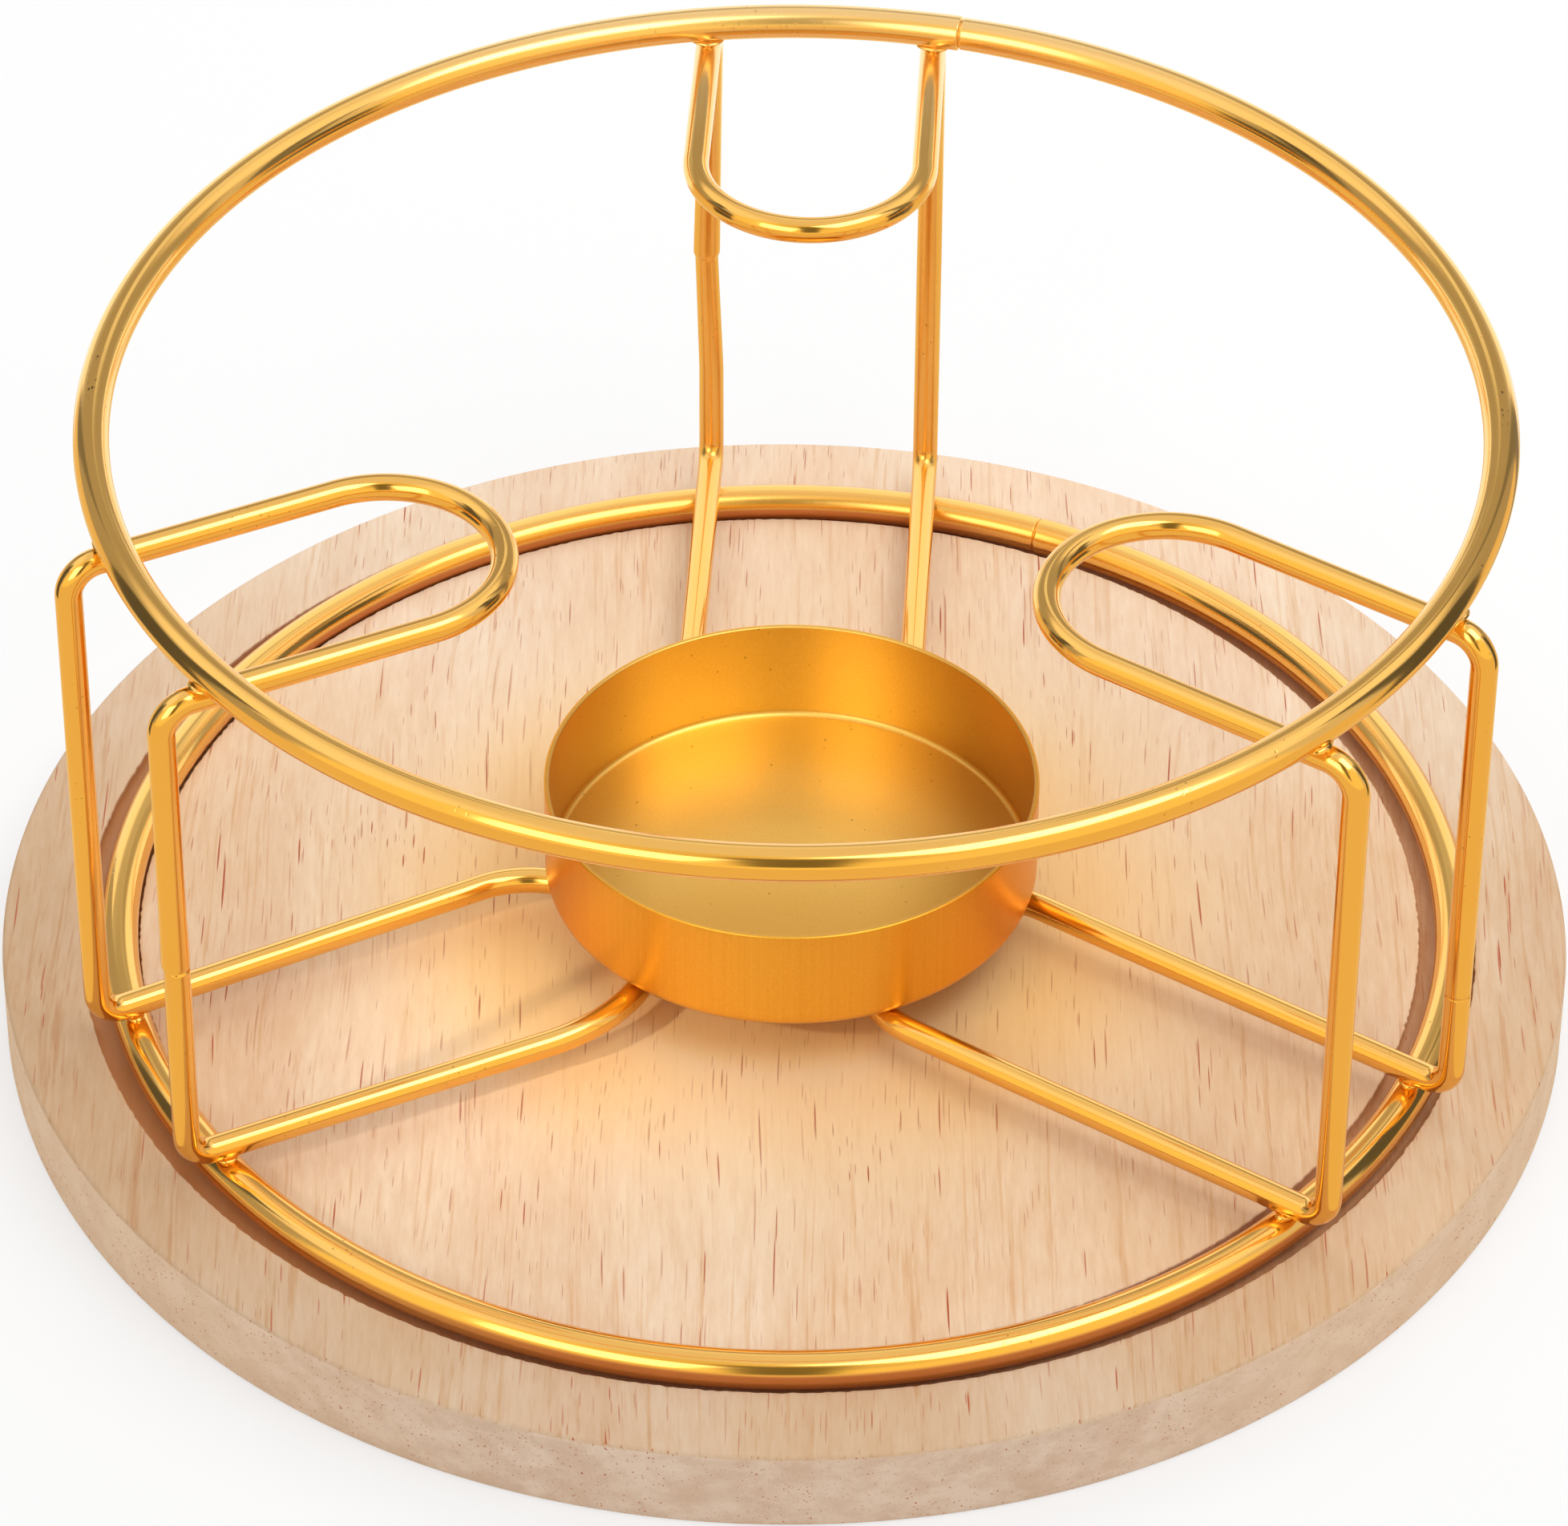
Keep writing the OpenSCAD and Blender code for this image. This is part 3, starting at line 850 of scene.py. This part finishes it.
def tones_by_place(tree, place, parts, wood):
    """The wood toned by where it lies: a little darker beside, painted paler behind, painted warm light
    around the cup, and painted shade on the rim.
    """
    aside = add(tree, MATH, UNSIGNED, {0: parts["X"]})[0]
    behind = add(tree, MAP_RANGE, SMOOTH, {"Value": parts["Y"], **BEHIND_Y})[0]
    fore = add(tree, MATH, MINUS, {0: 1.0, 1: behind})[0]
    beside = add(tree, MAP_RANGE, SMOOTH,
                 {"Value": aside, **BESIDE_BOARD_X, "To Min": BESIDE_LEAST})[0]
    beside = add(tree, MATH, TIMES, {0: beside, 1: fore})[0]
    # Painted light: paler behind, where the back light falls.
    pale = add(tree, MATH, TIMES, {0: behind, 1: PALE_BEHIND})[0]
    level = add(tree, "ShaderNodeCombineXYZ", {}, {"X": parts["X"], "Y": parts["Y"]})[0]
    out = add(tree, VECTOR_MATH, LENGTH, {0: level})["Value"]
    # Painted light: warmer around the cup, and deeper beside and under it, where the cup's gold throws
    # its light.
    painted_cup_light = add(tree, MAP_RANGE, SMOOTH,
                {"Value": out, **CUP_LIGHT_R, "To Min": CUP_LIGHT_MOST, "To Max": 0.0})[0]
    painted_cup_glow = add(tree, MAP_RANGE, SMOOTH, {"Value": out, **CUP_GLOW_R, **FALLING})[0]
    flank = add(tree, MAP_RANGE, SMOOTH, {"Value": aside, **FLANK_X, "To Min": FLANK_LEAST})[0]
    under = add(tree, MAP_RANGE, SMOOTH, {"Value": out, **UNDER_R, **FALLING})[0]
    flank = add(tree, MATH, LARGER, {0: flank, 1: under})[0]
    painted_cup_glow = add(tree, MATH, TIMES, {0: painted_cup_glow, 1: flank})[0]
    # Painted shade: the rim is greyed towards the front-left and on the right.
    painted_rim_shade = add(tree, VECTOR_MATH, DOT, {0: place, 1: RIM_SHADE_WAY})["Value"]
    painted_rim_shade = add(tree, MAP_RANGE, SMOOTH,
                  {"Value": painted_rim_shade, **RIM_SHADE_SPAN, "To Max": RIM_SHADE_MOST})[0]
    right = add(tree, MAP_RANGE, SMOOTH, {"Value": parts["X"], **RIGHT_X, "To Max": RIGHT_MOST})[0]
    painted_rim_shade = add(tree, MATH, LARGER, {0: painted_rim_shade, 1: right})[0]
    rim = add(tree, MAP_RANGE, SMOOTH, {"Value": out, **RIM_R})[0]
    rim = add(tree, MATH, TIMES, {0: rim, 1: painted_rim_shade})[0]
    for blend, share, colour in ((MULTIPLIED, beside, "#F5F0E9"), (COLOUR_MIX, pale, "#F9EAD9"),
                                 (COLOUR_MIX, painted_cup_light, "#FDDFB2"), (MULTIPLIED, painted_cup_glow, "#FFEFC8"),
                                 (MULTIPLIED, rim, "#E5E2DF")):
        wood = add(tree, MIX, blend,
                   {FACTOR: share, FIRST: wood, SECOND: linear(colour)})[MIXED]
    return wood


print("warm tone ends, mm from the middle:", round(CUP_LIGHT_R["From Max"] / MM))

# %% [markdown]
# On its edge the board shows cut fibres, mottled where the lathe went across them. The edge is darker
# than the top, partly the tone of the cut fibres and partly painted shade on the upright side, and it is
# painted warmer at the sides as painted light. The normal tells the edge from the flat top, so both can
# be one material. The pores are the open ends and sides of fine tubes: in long thin cells, only what lies
# close to the cell's point is dark, which gives dashes on the top and specks on the edge.

# %% Edge and pores
# The upward part of the normal over which the edge passes into the top, and the edge's mottle.
EDGE_LEANS = span(0.2, 0.6)
EDGE_MOST = 0.85
MOTTLE_CELL = (4.5, 4.5, 3.0)
MOTTLE_TURN = (0.0, 0.5, 0.0)
MOTTLE_SHOWS = span(0.35, 0.65)
# Painted light: from where aside the edge turns warmer at its sides, and by how much.
SIDE_LIGHT_X = span(20, 62, MM)
SIDE_LIGHT_MOST = 0.5
# Width and length in millimetres of the cells that hold one pore, the share of a cell that a pore
# fills, and how dark the darkest of them is.
PORES = ((0.62, 29.0, 0.18, 1.0), (0.46, 15.0, 0.20, 1.0), (0.36, 7.0, 0.21, 0.55))
PORE_CORE = 0.6
PORE_CHANCE = span(0.1, 1)
CROWD_SHOWS = span(0.38, 0.60)
CROWD_LEAST = 0.45


def cut_edge(tree, place, parts, wood):
    """The turned edge: mottled all round, darker than the top partly as painted shade, and painted warmer
    at the sides as painted light.
    """
    facing = add(tree, "ShaderNodeNewGeometry", {}, {})["Normal"]
    upward = add(tree, SEPARATE, {}, {"Vector": facing})["Z"]
    flat = add(tree, MATH, UNSIGNED, {0: upward})[0]
    # The edge is darker than the top, partly the tone of cut fibres and partly painted shade.
    edge = add(tree, MAP_RANGE, SMOOTH,
               {"Value": flat, **EDGE_LEANS, "To Min": EDGE_MOST, "To Max": 0.0})[0]
    mottle_at = add(tree, "ShaderNodeMapping", {},
                    {"Vector": place, "Rotation": MOTTLE_TURN, "Scale": cells(*MOTTLE_CELL)})[0]
    mottle = add(tree, NOISE, {},
                 {"Vector": mottle_at, "Scale": 1.0, "Detail": 4.0, "Roughness": 0.65})["Fac"]
    mottle = add(tree, MAP_RANGE, SMOOTH, {"Value": mottle, **MOTTLE_SHOWS})[0]
    # Painted light: the edge is warmer at its sides.
    aside = add(tree, MATH, UNSIGNED, {0: parts["X"]})[0]
    along = add(tree, MAP_RANGE, SMOOTH, {"Value": aside, **SIDE_LIGHT_X, "To Max": SIDE_LIGHT_MOST})[0]
    ends = linear("#E3CBB5")
    for share, colour in ((mottle, "#D2B49B"), (along, "#F3D0AC")):
        ends = add(tree, MIX, COLOUR_MIX,
                   {FACTOR: share, FIRST: ends, SECOND: linear(colour)})[MIXED]
    return add(tree, MIX, COLOUR_MIX, {FACTOR: edge, FIRST: wood, SECOND: ends})[MIXED]


def pored(tree, grain, crowd, wood):
    """Dark pores of three sizes, of a random strength in each cell, and crowded in places."""
    dark = 0.0
    for width, length, size, darkest in PORES:
        pore_cells = pattern(tree, VORONOI, grain, (width, length, width), {})
        strength = add(tree, "ShaderNodeSeparateColor", {}, {"Color": pore_cells["Color"]})["Red"]
        strength = add(tree, MAP_RANGE, {}, {"Value": strength, **PORE_CHANCE, "To Max": darkest})[0]
        pores = add(tree, MAP_RANGE, SMOOTH,
                    {"Value": pore_cells["Distance"], **span(PORE_CORE * size, size),
                     "To Min": strength, "To Max": 0.0})[0]
        dark = add(tree, MATH, LARGER, {0: dark, 1: pores})[0]
    crowd = add(tree, MAP_RANGE, SMOOTH, {"Value": crowd, **CROWD_SHOWS, "To Min": CROWD_LEAST})[0]
    dark = add(tree, MATH, TIMES, {0: dark, 1: crowd})[0]
    return add(tree, MIX, COLOUR_MIX,
               {FACTOR: dark, FIRST: wood, SECOND: linear("#B0440F")})[MIXED]


print("sizes of pores:", len(PORES))

# %% [markdown]
# Sanded rubberwood is matt, with hardly any sheen. The cutter scorched the groove. How much is
# an attribute on the board's points, because it follows the groove's section, and the fibres fray it.

# %% Rubberwood
BURN = "burn"
FRAY = 0.3
SCORCH_SHOWS = span(0.25, 0.95)


def rubberwood():
    """Sanded open-pored hardwood: matt, softly banded, with dark pores and a scorched groove."""
    material, tree, shader = new_material("sanded_rubberwood")
    place = add(tree, "ShaderNodeTexCoord", {}, {})["Object"]
    parts = add(tree, SEPARATE, {}, {"Vector": place})
    grain, patterns = wood_grain(tree, place)
    wood = wood_tones(tree, place, patterns)
    wood = tones_by_place(tree, place, parts, wood)
    wood = cut_edge(tree, place, parts, wood)
    wood = pored(tree, grain, patterns["crowd"], wood)
    burn = add(tree, "ShaderNodeAttribute", {"attribute_name": BURN}, {})["Fac"]
    frayed = add(tree, MATH, TIMES_PLUS, {0: patterns["fibres"], 1: FRAY, 2: burn})[0]
    scorch = add(tree, MAP_RANGE, SMOOTH, {"Value": frayed, **SCORCH_SHOWS})[0]
    wood = add(tree, MIX, COLOUR_MIX,
               {FACTOR: scorch, FIRST: wood, SECOND: linear("#C58A59")})[MIXED]
    tree.links.new(wood, shader.inputs["Base Color"])
    shader.inputs["Roughness"].default_value = 0.6
    shader.inputs["Specular IOR Level"].default_value = 0.3
    return material


board_wood = rubberwood()
print("material:", board_wood.name)

# %% [markdown]
# The board is one profile turned around: out along the top, down into the groove and up again,
# over the eased rim and back underneath. A groove cut by a Boolean would have two perfect circles
# for lips. This one was cut by hand, a little off the rim's middle, so the radius of each lip is
# given in eight directions and runs smoothly through them, and the lips are torn by fine waves.

# %% The board's section
# Radius of each lip in eight directions, from the right over the back.
INNER_LIP = (60.9, 61.2, 61.9, 61.8, 61.85, 61.85, 61.45, 61.15)
OUTER_LIP = (66.2, 66.4, 66.8, 67.0, 67.3, 67.3, 66.6, 67.0)
GROOVE_DEPTH = 1.4
RIM_EASE = 0.5
LIP = 0.15
# Distances from a lip to which its share reaches and from which the top is plain, where the walls
# of the groove begin and end, how far the floor curls up, and the gap of rows beside the rim.
TORN, PLAIN = 1.2, 2.0
WALL_TOP, WALL_FOOT, CURL = LIP + 0.1, 0.6, 0.5
RIM_GAP = 0.3
# The part of the groove's width that its floor takes, and how much of the scorch each stretch has,
# from its first row to its last, on the way in.
FLOOR_PART = (0.06, 0.94)
UNBURNT, BURN_FLOOR = (0, 0), (0.7, 0.7)
BURN_TOP, BURN_LIP, BURN_WALL = (0, 0.05), (0.1, 0.4), (0.5, 0.8)


def board_rows():
    """The half section as rows of radius, height, share of the inner lip, share of the outer lip,
    and burn. A row's radius is measured from the lips' mean radius as far as it has a share."""
    inner, outer = np.mean(INNER_LIP), np.mean(OUTER_LIP)
    top, floor = BOARD_TOP, BOARD_TOP - GROOVE_DEPTH
    rim_r, wall_z, foot_z = BOARD_R - RIM_EASE, top - WALL_TOP, floor + WALL_FOOT
    edge_top, edge_foot = top - RIM_EASE - RIM_GAP, RIM_EASE + RIM_GAP
    rows = []

    def run(points, shares, burn):
        """One more stretch of rows, with the burn changing evenly along it."""
        given = [np.broadcast_to(value, len(points)) for value in shares]
        rows.append(np.column_stack([points, *given, np.linspace(*burn, len(points))]))

    at_inner, at_outer, neither = (1, 0), (0, 1), (0, 0)
    across = np.linspace(*FLOOR_PART, 9)
    bowl = np.column_stack([inner + (outer - inner) * across, floor + CURL * np.abs(2 * across - 1) ** 6])
    run(np.linspace((HUB, top), (inner - PLAIN, top), 6), neither, UNBURNT)
    run(np.linspace((inner - TORN, top), (inner - LIP, top), 4), at_inner, BURN_TOP)
    run(turned_corner(LIP, inner - LIP, top - LIP, 90, 0, 5)[1:], at_inner, BURN_LIP)
    run(np.linspace((inner, wall_z), (inner, foot_z), 3), at_inner, BURN_WALL)
    run(bowl, (1 - across, across), BURN_FLOOR)
    run(np.linspace((outer, foot_z), (outer, wall_z), 3), at_outer, BURN_WALL[::-1])
    run(turned_corner(LIP, outer + LIP, top - LIP, 180, 90, 5)[:-1], at_outer, BURN_LIP[::-1])
    run(np.linspace((outer + LIP, top), (outer + TORN, top), 4), at_outer, BURN_TOP[::-1])
    run(np.linspace((outer + PLAIN, top), (rim_r - RIM_GAP, top), 3), neither, UNBURNT)
    run(turned_corner(RIM_EASE, rim_r, top - RIM_EASE, 90, 0, 8), neither, UNBURNT)
    run(np.linspace((BOARD_R, edge_top), (BOARD_R, edge_foot), 4), neither, UNBURNT)
    run(turned_corner(RIM_EASE, rim_r, RIM_EASE, 0, -90, 6), neither, UNBURNT)
    run(np.linspace((rim_r - RIM_GAP, 0), (HUB, 0), 4), neither, UNBURNT)
    return np.concatenate(rows)


section = board_rows()
print("rows in the section:", len(section))

# %% The board
# The torn lips: their standard size, how many waves are added up, and how often these go round.
TEAR = 0.03
TEAR_WAVES = 60
TEAR_ORDERS = (20, 420)
INNER_SEED, OUTER_SEED = 11, 12
# The direction in which the groove is burnt most, and the even and the changing part of the burn.
BURN_AT = np.radians(190)
BURN_EVEN, BURN_SWAY = 0.86, 0.14
BOARD_COLUMNS = 1600


def round_through(values, turn):
    """A smooth closed curve through values at even steps around, as a sum of waves."""
    waves = np.fft.rfft(values) / len(values)
    order = np.arange(len(waves))[:, None]
    twice = np.where((order == 0) | (2 * order == len(values)), 1, 2)
    return (twice * waves[:, None] * np.exp(1j * order * turn)).real.sum(0)


def torn_lip(turn, seed):
    """Uneven edge: a sum of waves of many lengths around the circle, with a standard size of one."""
    random = np.random.default_rng(seed)
    lengths = random.integers(*TEAR_ORDERS, TEAR_WAVES)[:, None]
    phases = random.uniform(0, 2 * np.pi, TEAR_WAVES)[:, None]
    return np.cos(lengths * turn + phases).sum(0) * np.sqrt(2 / TEAR_WAVES)


def board_grid(rows, turn):
    """The section turned around, with the rows of each lip pushed to its radius and torn."""
    radius, height, at_inner, at_outer = (rows[:, at, None] for at in range(4))
    inner = round_through(INNER_LIP, turn) - np.mean(INNER_LIP) + TEAR * torn_lip(turn, INNER_SEED)
    outer = round_through(OUTER_LIP, turn) - np.mean(OUTER_LIP) + TEAR * torn_lip(turn, OUTER_SEED)
    radius = radius + at_inner * inner + at_outer * outer
    return np.stack([radius * np.cos(turn), radius * np.sin(turn), height + 0 * turn], -1)


around = np.linspace(0, 2 * np.pi, BOARD_COLUMNS, endpoint=False)
board = skin("board_disc", [board_grid(section, around)], False,
             board_wood, "board", ["base_board"])
burnt = section[:, 4, None] * (BURN_EVEN + BURN_SWAY * np.cos(around - BURN_AT))
burnt = np.concatenate([burnt.ravel(), (0, 0)])
board.data.attributes.new(BURN, "FLOAT", "POINT").data.foreach_set("value", burnt.astype(np.float32))
print("board triangles:", 2 * len(board.data.polygons))

# %% [markdown]
# The floor of the studio is white paper that runs out of sight. Lamps strong enough to whiten it
# would bleach the wood, so a part of what the camera sees of it is plain white, and the rest
# is lit paper that keeps the shadow. Polished wire shows the paper a little warm.

# %% Floor
FLOOR_HALF = 4.0
SEEN_SHARE = 0.6


def white_paper():
    """Matt white paper. Part of what is seen of it is plain white, and the rest keeps the shadow.
    In the wires it shows warm, as if wood and gold threw their light back on it."""
    material, tree, shader = new_material("matt_white_paper")
    shader.inputs["Base Color"].default_value = linear("#F4F4F4")
    shader.inputs["Roughness"].default_value = 0.9
    shader.inputs["Specular IOR Level"].default_value = 0.0
    path = add(tree, "ShaderNodeLightPath", {}, {})
    mirrored = path["Is Glossy Ray"]
    seen = add(tree, MATH, LARGER, {0: path["Is Camera Ray"], 1: path["Is Transmission Ray"]})[0]
    share = add(tree, MATH, TIMES_PLUS, {0: seen, 1: SEEN_SHARE, 2: mirrored})[0]
    tint = add(tree, MIX, COLOUR_MIX,
               {FACTOR: mirrored, FIRST: linear("#FFFFFF"), SECOND: linear("#F7DFA6")})[MIXED]
    white = add(tree, "ShaderNodeEmission", {}, {"Color": tint, "Strength": 1.0})[0]
    both = add(tree, "ShaderNodeMixShader", {}, {0: share, 1: shader.outputs[0], 2: white})[0]
    tree.links.new(both, tree.nodes["Material Output"].inputs["Surface"])
    return material


corners = [(x * FLOOR_HALF, y * FLOOR_HALF, 0) for x, y in ((-1, -1), (1, -1), (1, 1), (-1, 1))]
floor_mesh = bpy.data.meshes.new("floor")
floor_mesh.from_pydata(corners, [], [(0, 1, 2, 3)])
floor_mesh.materials.append(white_paper())
floor = bpy.data.objects.new("floor", floor_mesh)
bpy.context.scene.collection.objects.link(floor)
print("floor, m:", 2 * FLOOR_HALF)

# %% [markdown]
# Three soft boxes light the object: a strong one high on the right, a weaker one low on the left,
# and one behind that lifts the shadows and that no reflection shows. Point lamps would give hard
# shadows and pinpricks on the wire. A small spot lights the wood in front of the cup, in place
# of the light that the bright cup throws there.

# %% Soft boxes and spot
SOFT_BOXES = {
    "soft_box_right": {"azimuth": 128, "elevation": 62, "distance": 1.2, "size": (0.75, 0.55),
                       "radiance": 2.9, "mirrored": True},
    "soft_box_left": {"azimuth": -150, "elevation": 33, "distance": 1.2, "size": (0.60, 0.65),
                      "radiance": 1.8, "mirrored": True},
    "soft_box_back": {"azimuth": 15, "elevation": 55, "distance": 0.7, "size": (0.95, 0.75),
                      "radiance": 1.05, "mirrored": False},
}
SPOT_MM = Vector((-390, -330, 360))
SPOT_AIM_MM = Vector((-14, -14.5, 8.5))
SPOT_DEGREES = 3.3
SPOT_RADIUS = 20 * MM
SPOT_WATTS = 14.0


def place_lamp(lamp, eye, aim, mirrored):
    """Puts a lamp at an eye point, facing an aim, out of the camera's sight."""
    made = bpy.data.objects.new(lamp.name, lamp)
    made.matrix_world = look_at(eye, aim, 0)
    made.visible_camera = False
    made.visible_glossy = mirrored
    bpy.context.scene.collection.objects.link(made)
    print(lamp.name, "watts:", round(lamp.energy, 2))


def soft_box(name, azimuth, elevation, distance, size, radiance, mirrored):
    """A rectangular lamp facing the object. Azimuth runs from the back over the right."""
    lamp = bpy.data.lights.new(name, "AREA")
    lamp.shape = "RECTANGLE"
    lamp.size, lamp.size_y = size
    lamp.energy = radiance * np.pi * size[0] * size[1]
    turn, rise = np.radians((azimuth, elevation))
    away = Vector((np.sin(turn) * np.cos(rise), np.cos(turn) * np.cos(rise), np.sin(rise)))
    place_lamp(lamp, away * distance, Vector((0, 0, 0)), mirrored)


for name, facts in SOFT_BOXES.items():
    soft_box(name, **facts)

spot = bpy.data.lights.new("spot_left", "SPOT")
spot.energy = SPOT_WATTS
spot.color = linear("#FFF3E6")[:3]
spot.spot_size = np.radians(SPOT_DEGREES)
spot.spot_blend = 1.0
spot.shadow_soft_size = SPOT_RADIUS
place_lamp(spot, SPOT_MM * MM, SPOT_AIM_MM * MM, False)

# %% [markdown]
# A photographer draws lines along polished metal by standing cards around it: dark ones at the sides
# give the wire an edge, and bright ones behind lift its far stretches. These cards show only in
# reflections, so they throw no shadow and no light on the wood.

# %% Cards seen only in the wire
# Both ends of each card on the floor and its heights, in millimetres, and its brightness.
CARDS = {
    "card_left": ((-170, -30), (-170, 32), (0, 130), 0.12),
    "card_right": ((170, -30), (170, 32), (0, 130), 0.12),
    "card_near_left": ((-100, 28), (-100, 46), (70, 115), 0.24),
    "card_near_right": ((100, 28), (100, 46), (15, 200), 0.24),
    "card_back": ((-42, 250), (42, 250), (250, 420), 1.0),
    "card_behind": ((-150, 120), (150, 120), (0, 92), 1.25),
    "card_far": ((-60, 400), (60, 400), (120, 250), 0.9),
    "card_side_left": ((-600, -15), (-600, 110), (110, 540), 0.12),
    "card_side_right": ((600, -15), (600, 110), (110, 540), 0.12),
    "card_wing_left": ((-150, 120), (-38, 120), (92, 118), 0.6),
    "card_wing_right": ((38, 120), (150, 120), (92, 118), 0.6),
}


def card(name, start, end, heights, level):
    """An upright card over the line from start to end, evenly bright, seen only in reflections."""
    low, top = heights
    corners = np.array([(*start, low), (*end, low), (*end, top), (*start, top)]) * MM
    mesh = bpy.data.meshes.new(name)
    mesh.from_pydata(corners.tolist(), [], [(0, 1, 2, 3)])
    material, tree, _ = new_material(f"{name}_paper")
    glow = add(tree, "ShaderNodeEmission", {}, {"Color": linear("#FFFFFF"), "Strength": level})[0]
    tree.links.new(glow, tree.nodes["Material Output"].inputs["Surface"])
    mesh.materials.append(material)
    made = bpy.data.objects.new(name, mesh)
    for kind in ("camera", "diffuse", "transmission", "shadow", "volume_scatter"):
        setattr(made, f"visible_{kind}", False)
    bpy.context.scene.collection.objects.link(made)
    print(name, "level:", level)


for name, facts in CARDS.items():
    card(name, *facts)

# %% [markdown]
# Around it all is a room. The camera sees plain white, and matt surfaces get an even fill. Only
# polished metal sees the room's own shades: bright in front, darker at the sides and behind, pale
# above, with a dark place where the camera stands. A photographed room would do too, but
# a few soft zones of a direction are easier to set.

# %% The room
FILL = 0.53
FRONT, LEFT, RIGHT, BEHIND, CAMERA_PLACE = 1.15, 0.5, 0.80, 0.46, 0.2
ABOVE, ABOVE_ASIDE = 0.92, 1.18
# From where to where each zone begins or ends, in the parts of a direction of length one, and how
# much higher the ceiling begins at the back.
SIDES_X = span(-0.3, 0.3)
FRONT_Y = span(-0.32, -0.20)
WALL_Y = span(0.22, 0.34)
CEILING_X = span(0.2, 0.5)
CEILING_Z = span(0.46, 0.62)
RAISED_Y = span(0.4, 1.0)
RAISED = 0.36
CAMERA_X = span(0.09, 0.16)
CAMERA_Y = span(-0.55, -0.42)
CAMERA_Z = span(0.14, 0.26)


def room_level(tree, parts, warm):
    """How bright the room is in a direction, zone over zone: front and sides, wall, ceiling, camera."""
    sides = add(tree, MAP_RANGE, {},
                {"Value": parts["X"], **SIDES_X, "To Min": LEFT, "To Max": RIGHT})[0]
    front = add(tree, MIX, {}, {FACTOR: warm, ONE: sides, OTHER: FRONT})[0]
    back = add(tree, MAP_RANGE, SMOOTH, {"Value": parts["Y"], **WALL_Y})[0]
    low = add(tree, MIX, {}, {FACTOR: back, ONE: front, OTHER: BEHIND})[0]
    raised = add(tree, MAP_RANGE, {}, {"Value": parts["Y"], **RAISED_Y, "To Max": RAISED})[0]
    high = add(tree, MATH, MINUS, {0: parts["Z"], 1: raised})[0]
    high = add(tree, MAP_RANGE, SMOOTH, {"Value": high, **CEILING_Z})[0]
    aside = add(tree, MATH, UNSIGNED, {0: parts["X"]})[0]
    above = add(tree, MAP_RANGE, SMOOTH,
                {"Value": aside, **CEILING_X, "To Min": ABOVE, "To Max": ABOVE_ASIDE})[0]
    level = add(tree, MIX, {}, {FACTOR: high, ONE: low, OTHER: above})[0]
    narrow = add(tree, MAP_RANGE, SMOOTH, {"Value": aside, **CAMERA_X, **FALLING})[0]
    nearer = add(tree, MAP_RANGE, SMOOTH, {"Value": parts["Y"], **CAMERA_Y, **FALLING})[0]
    over = add(tree, MAP_RANGE, SMOOTH, {"Value": parts["Z"], **CAMERA_Z})[0]
    camera_share = add(tree, MATH, TIMES, {0: narrow, 1: nearer})[0]
    camera_share = add(tree, MATH, TIMES, {0: camera_share, 1: over})[0]
    return add(tree, MIX, {}, {FACTOR: camera_share, ONE: level, OTHER: CAMERA_PLACE})[0]


def room():
    """Plain white for the camera, an even fill for matt surfaces, and for reflections a room with
    lit screens in front, dark gaps at the sides, a dim wall behind and a pale ceiling."""
    world = bpy.data.worlds.new("studio")
    bpy.context.scene.world = world
    world.use_nodes = True
    tree = world.node_tree
    path = add(tree, "ShaderNodeLightPath", {}, {})
    ray = add(tree, "ShaderNodeTexCoord", {}, {})["Generated"]
    parts = add(tree, SEPARATE, {}, {"Vector": ray})
    warm = add(tree, MAP_RANGE, SMOOTH, {"Value": parts["Y"], **FRONT_Y, **FALLING})[0]
    level = room_level(tree, parts, warm)
    tint = add(tree, MIX, COLOUR_MIX,
               {FACTOR: warm, FIRST: linear("#FFFAF3"), SECOND: linear("#FFECA8")})[MIXED]
    around = add(tree, "ShaderNodeBackground", {}, {"Color": tint, "Strength": level})[0]
    white = add(tree, "ShaderNodeBackground", {}, {"Color": linear("#FFFFFF"), "Strength": 1.0})[0]
    fill = add(tree, "ShaderNodeBackground", {}, {"Color": linear("#FFFFFF"), "Strength": FILL})[0]
    mirrored = add(tree, MATH, LARGER, {0: path["Is Glossy Ray"], 1: path["Is Transmission Ray"]})[0]
    lit = add(tree, "ShaderNodeMixShader", {}, {0: mirrored, 1: fill, 2: around})[0]
    whole = add(tree, "ShaderNodeMixShader", {}, {0: path["Is Camera Ray"], 1: lit, 2: white})[0]
    tree.links.new(whole, tree.nodes["World Output"].inputs["Surface"])
    print("world:", world.name, "nodes:", len(tree.nodes))


room()
bpy.context.scene.view_settings.view_transform = "Standard"
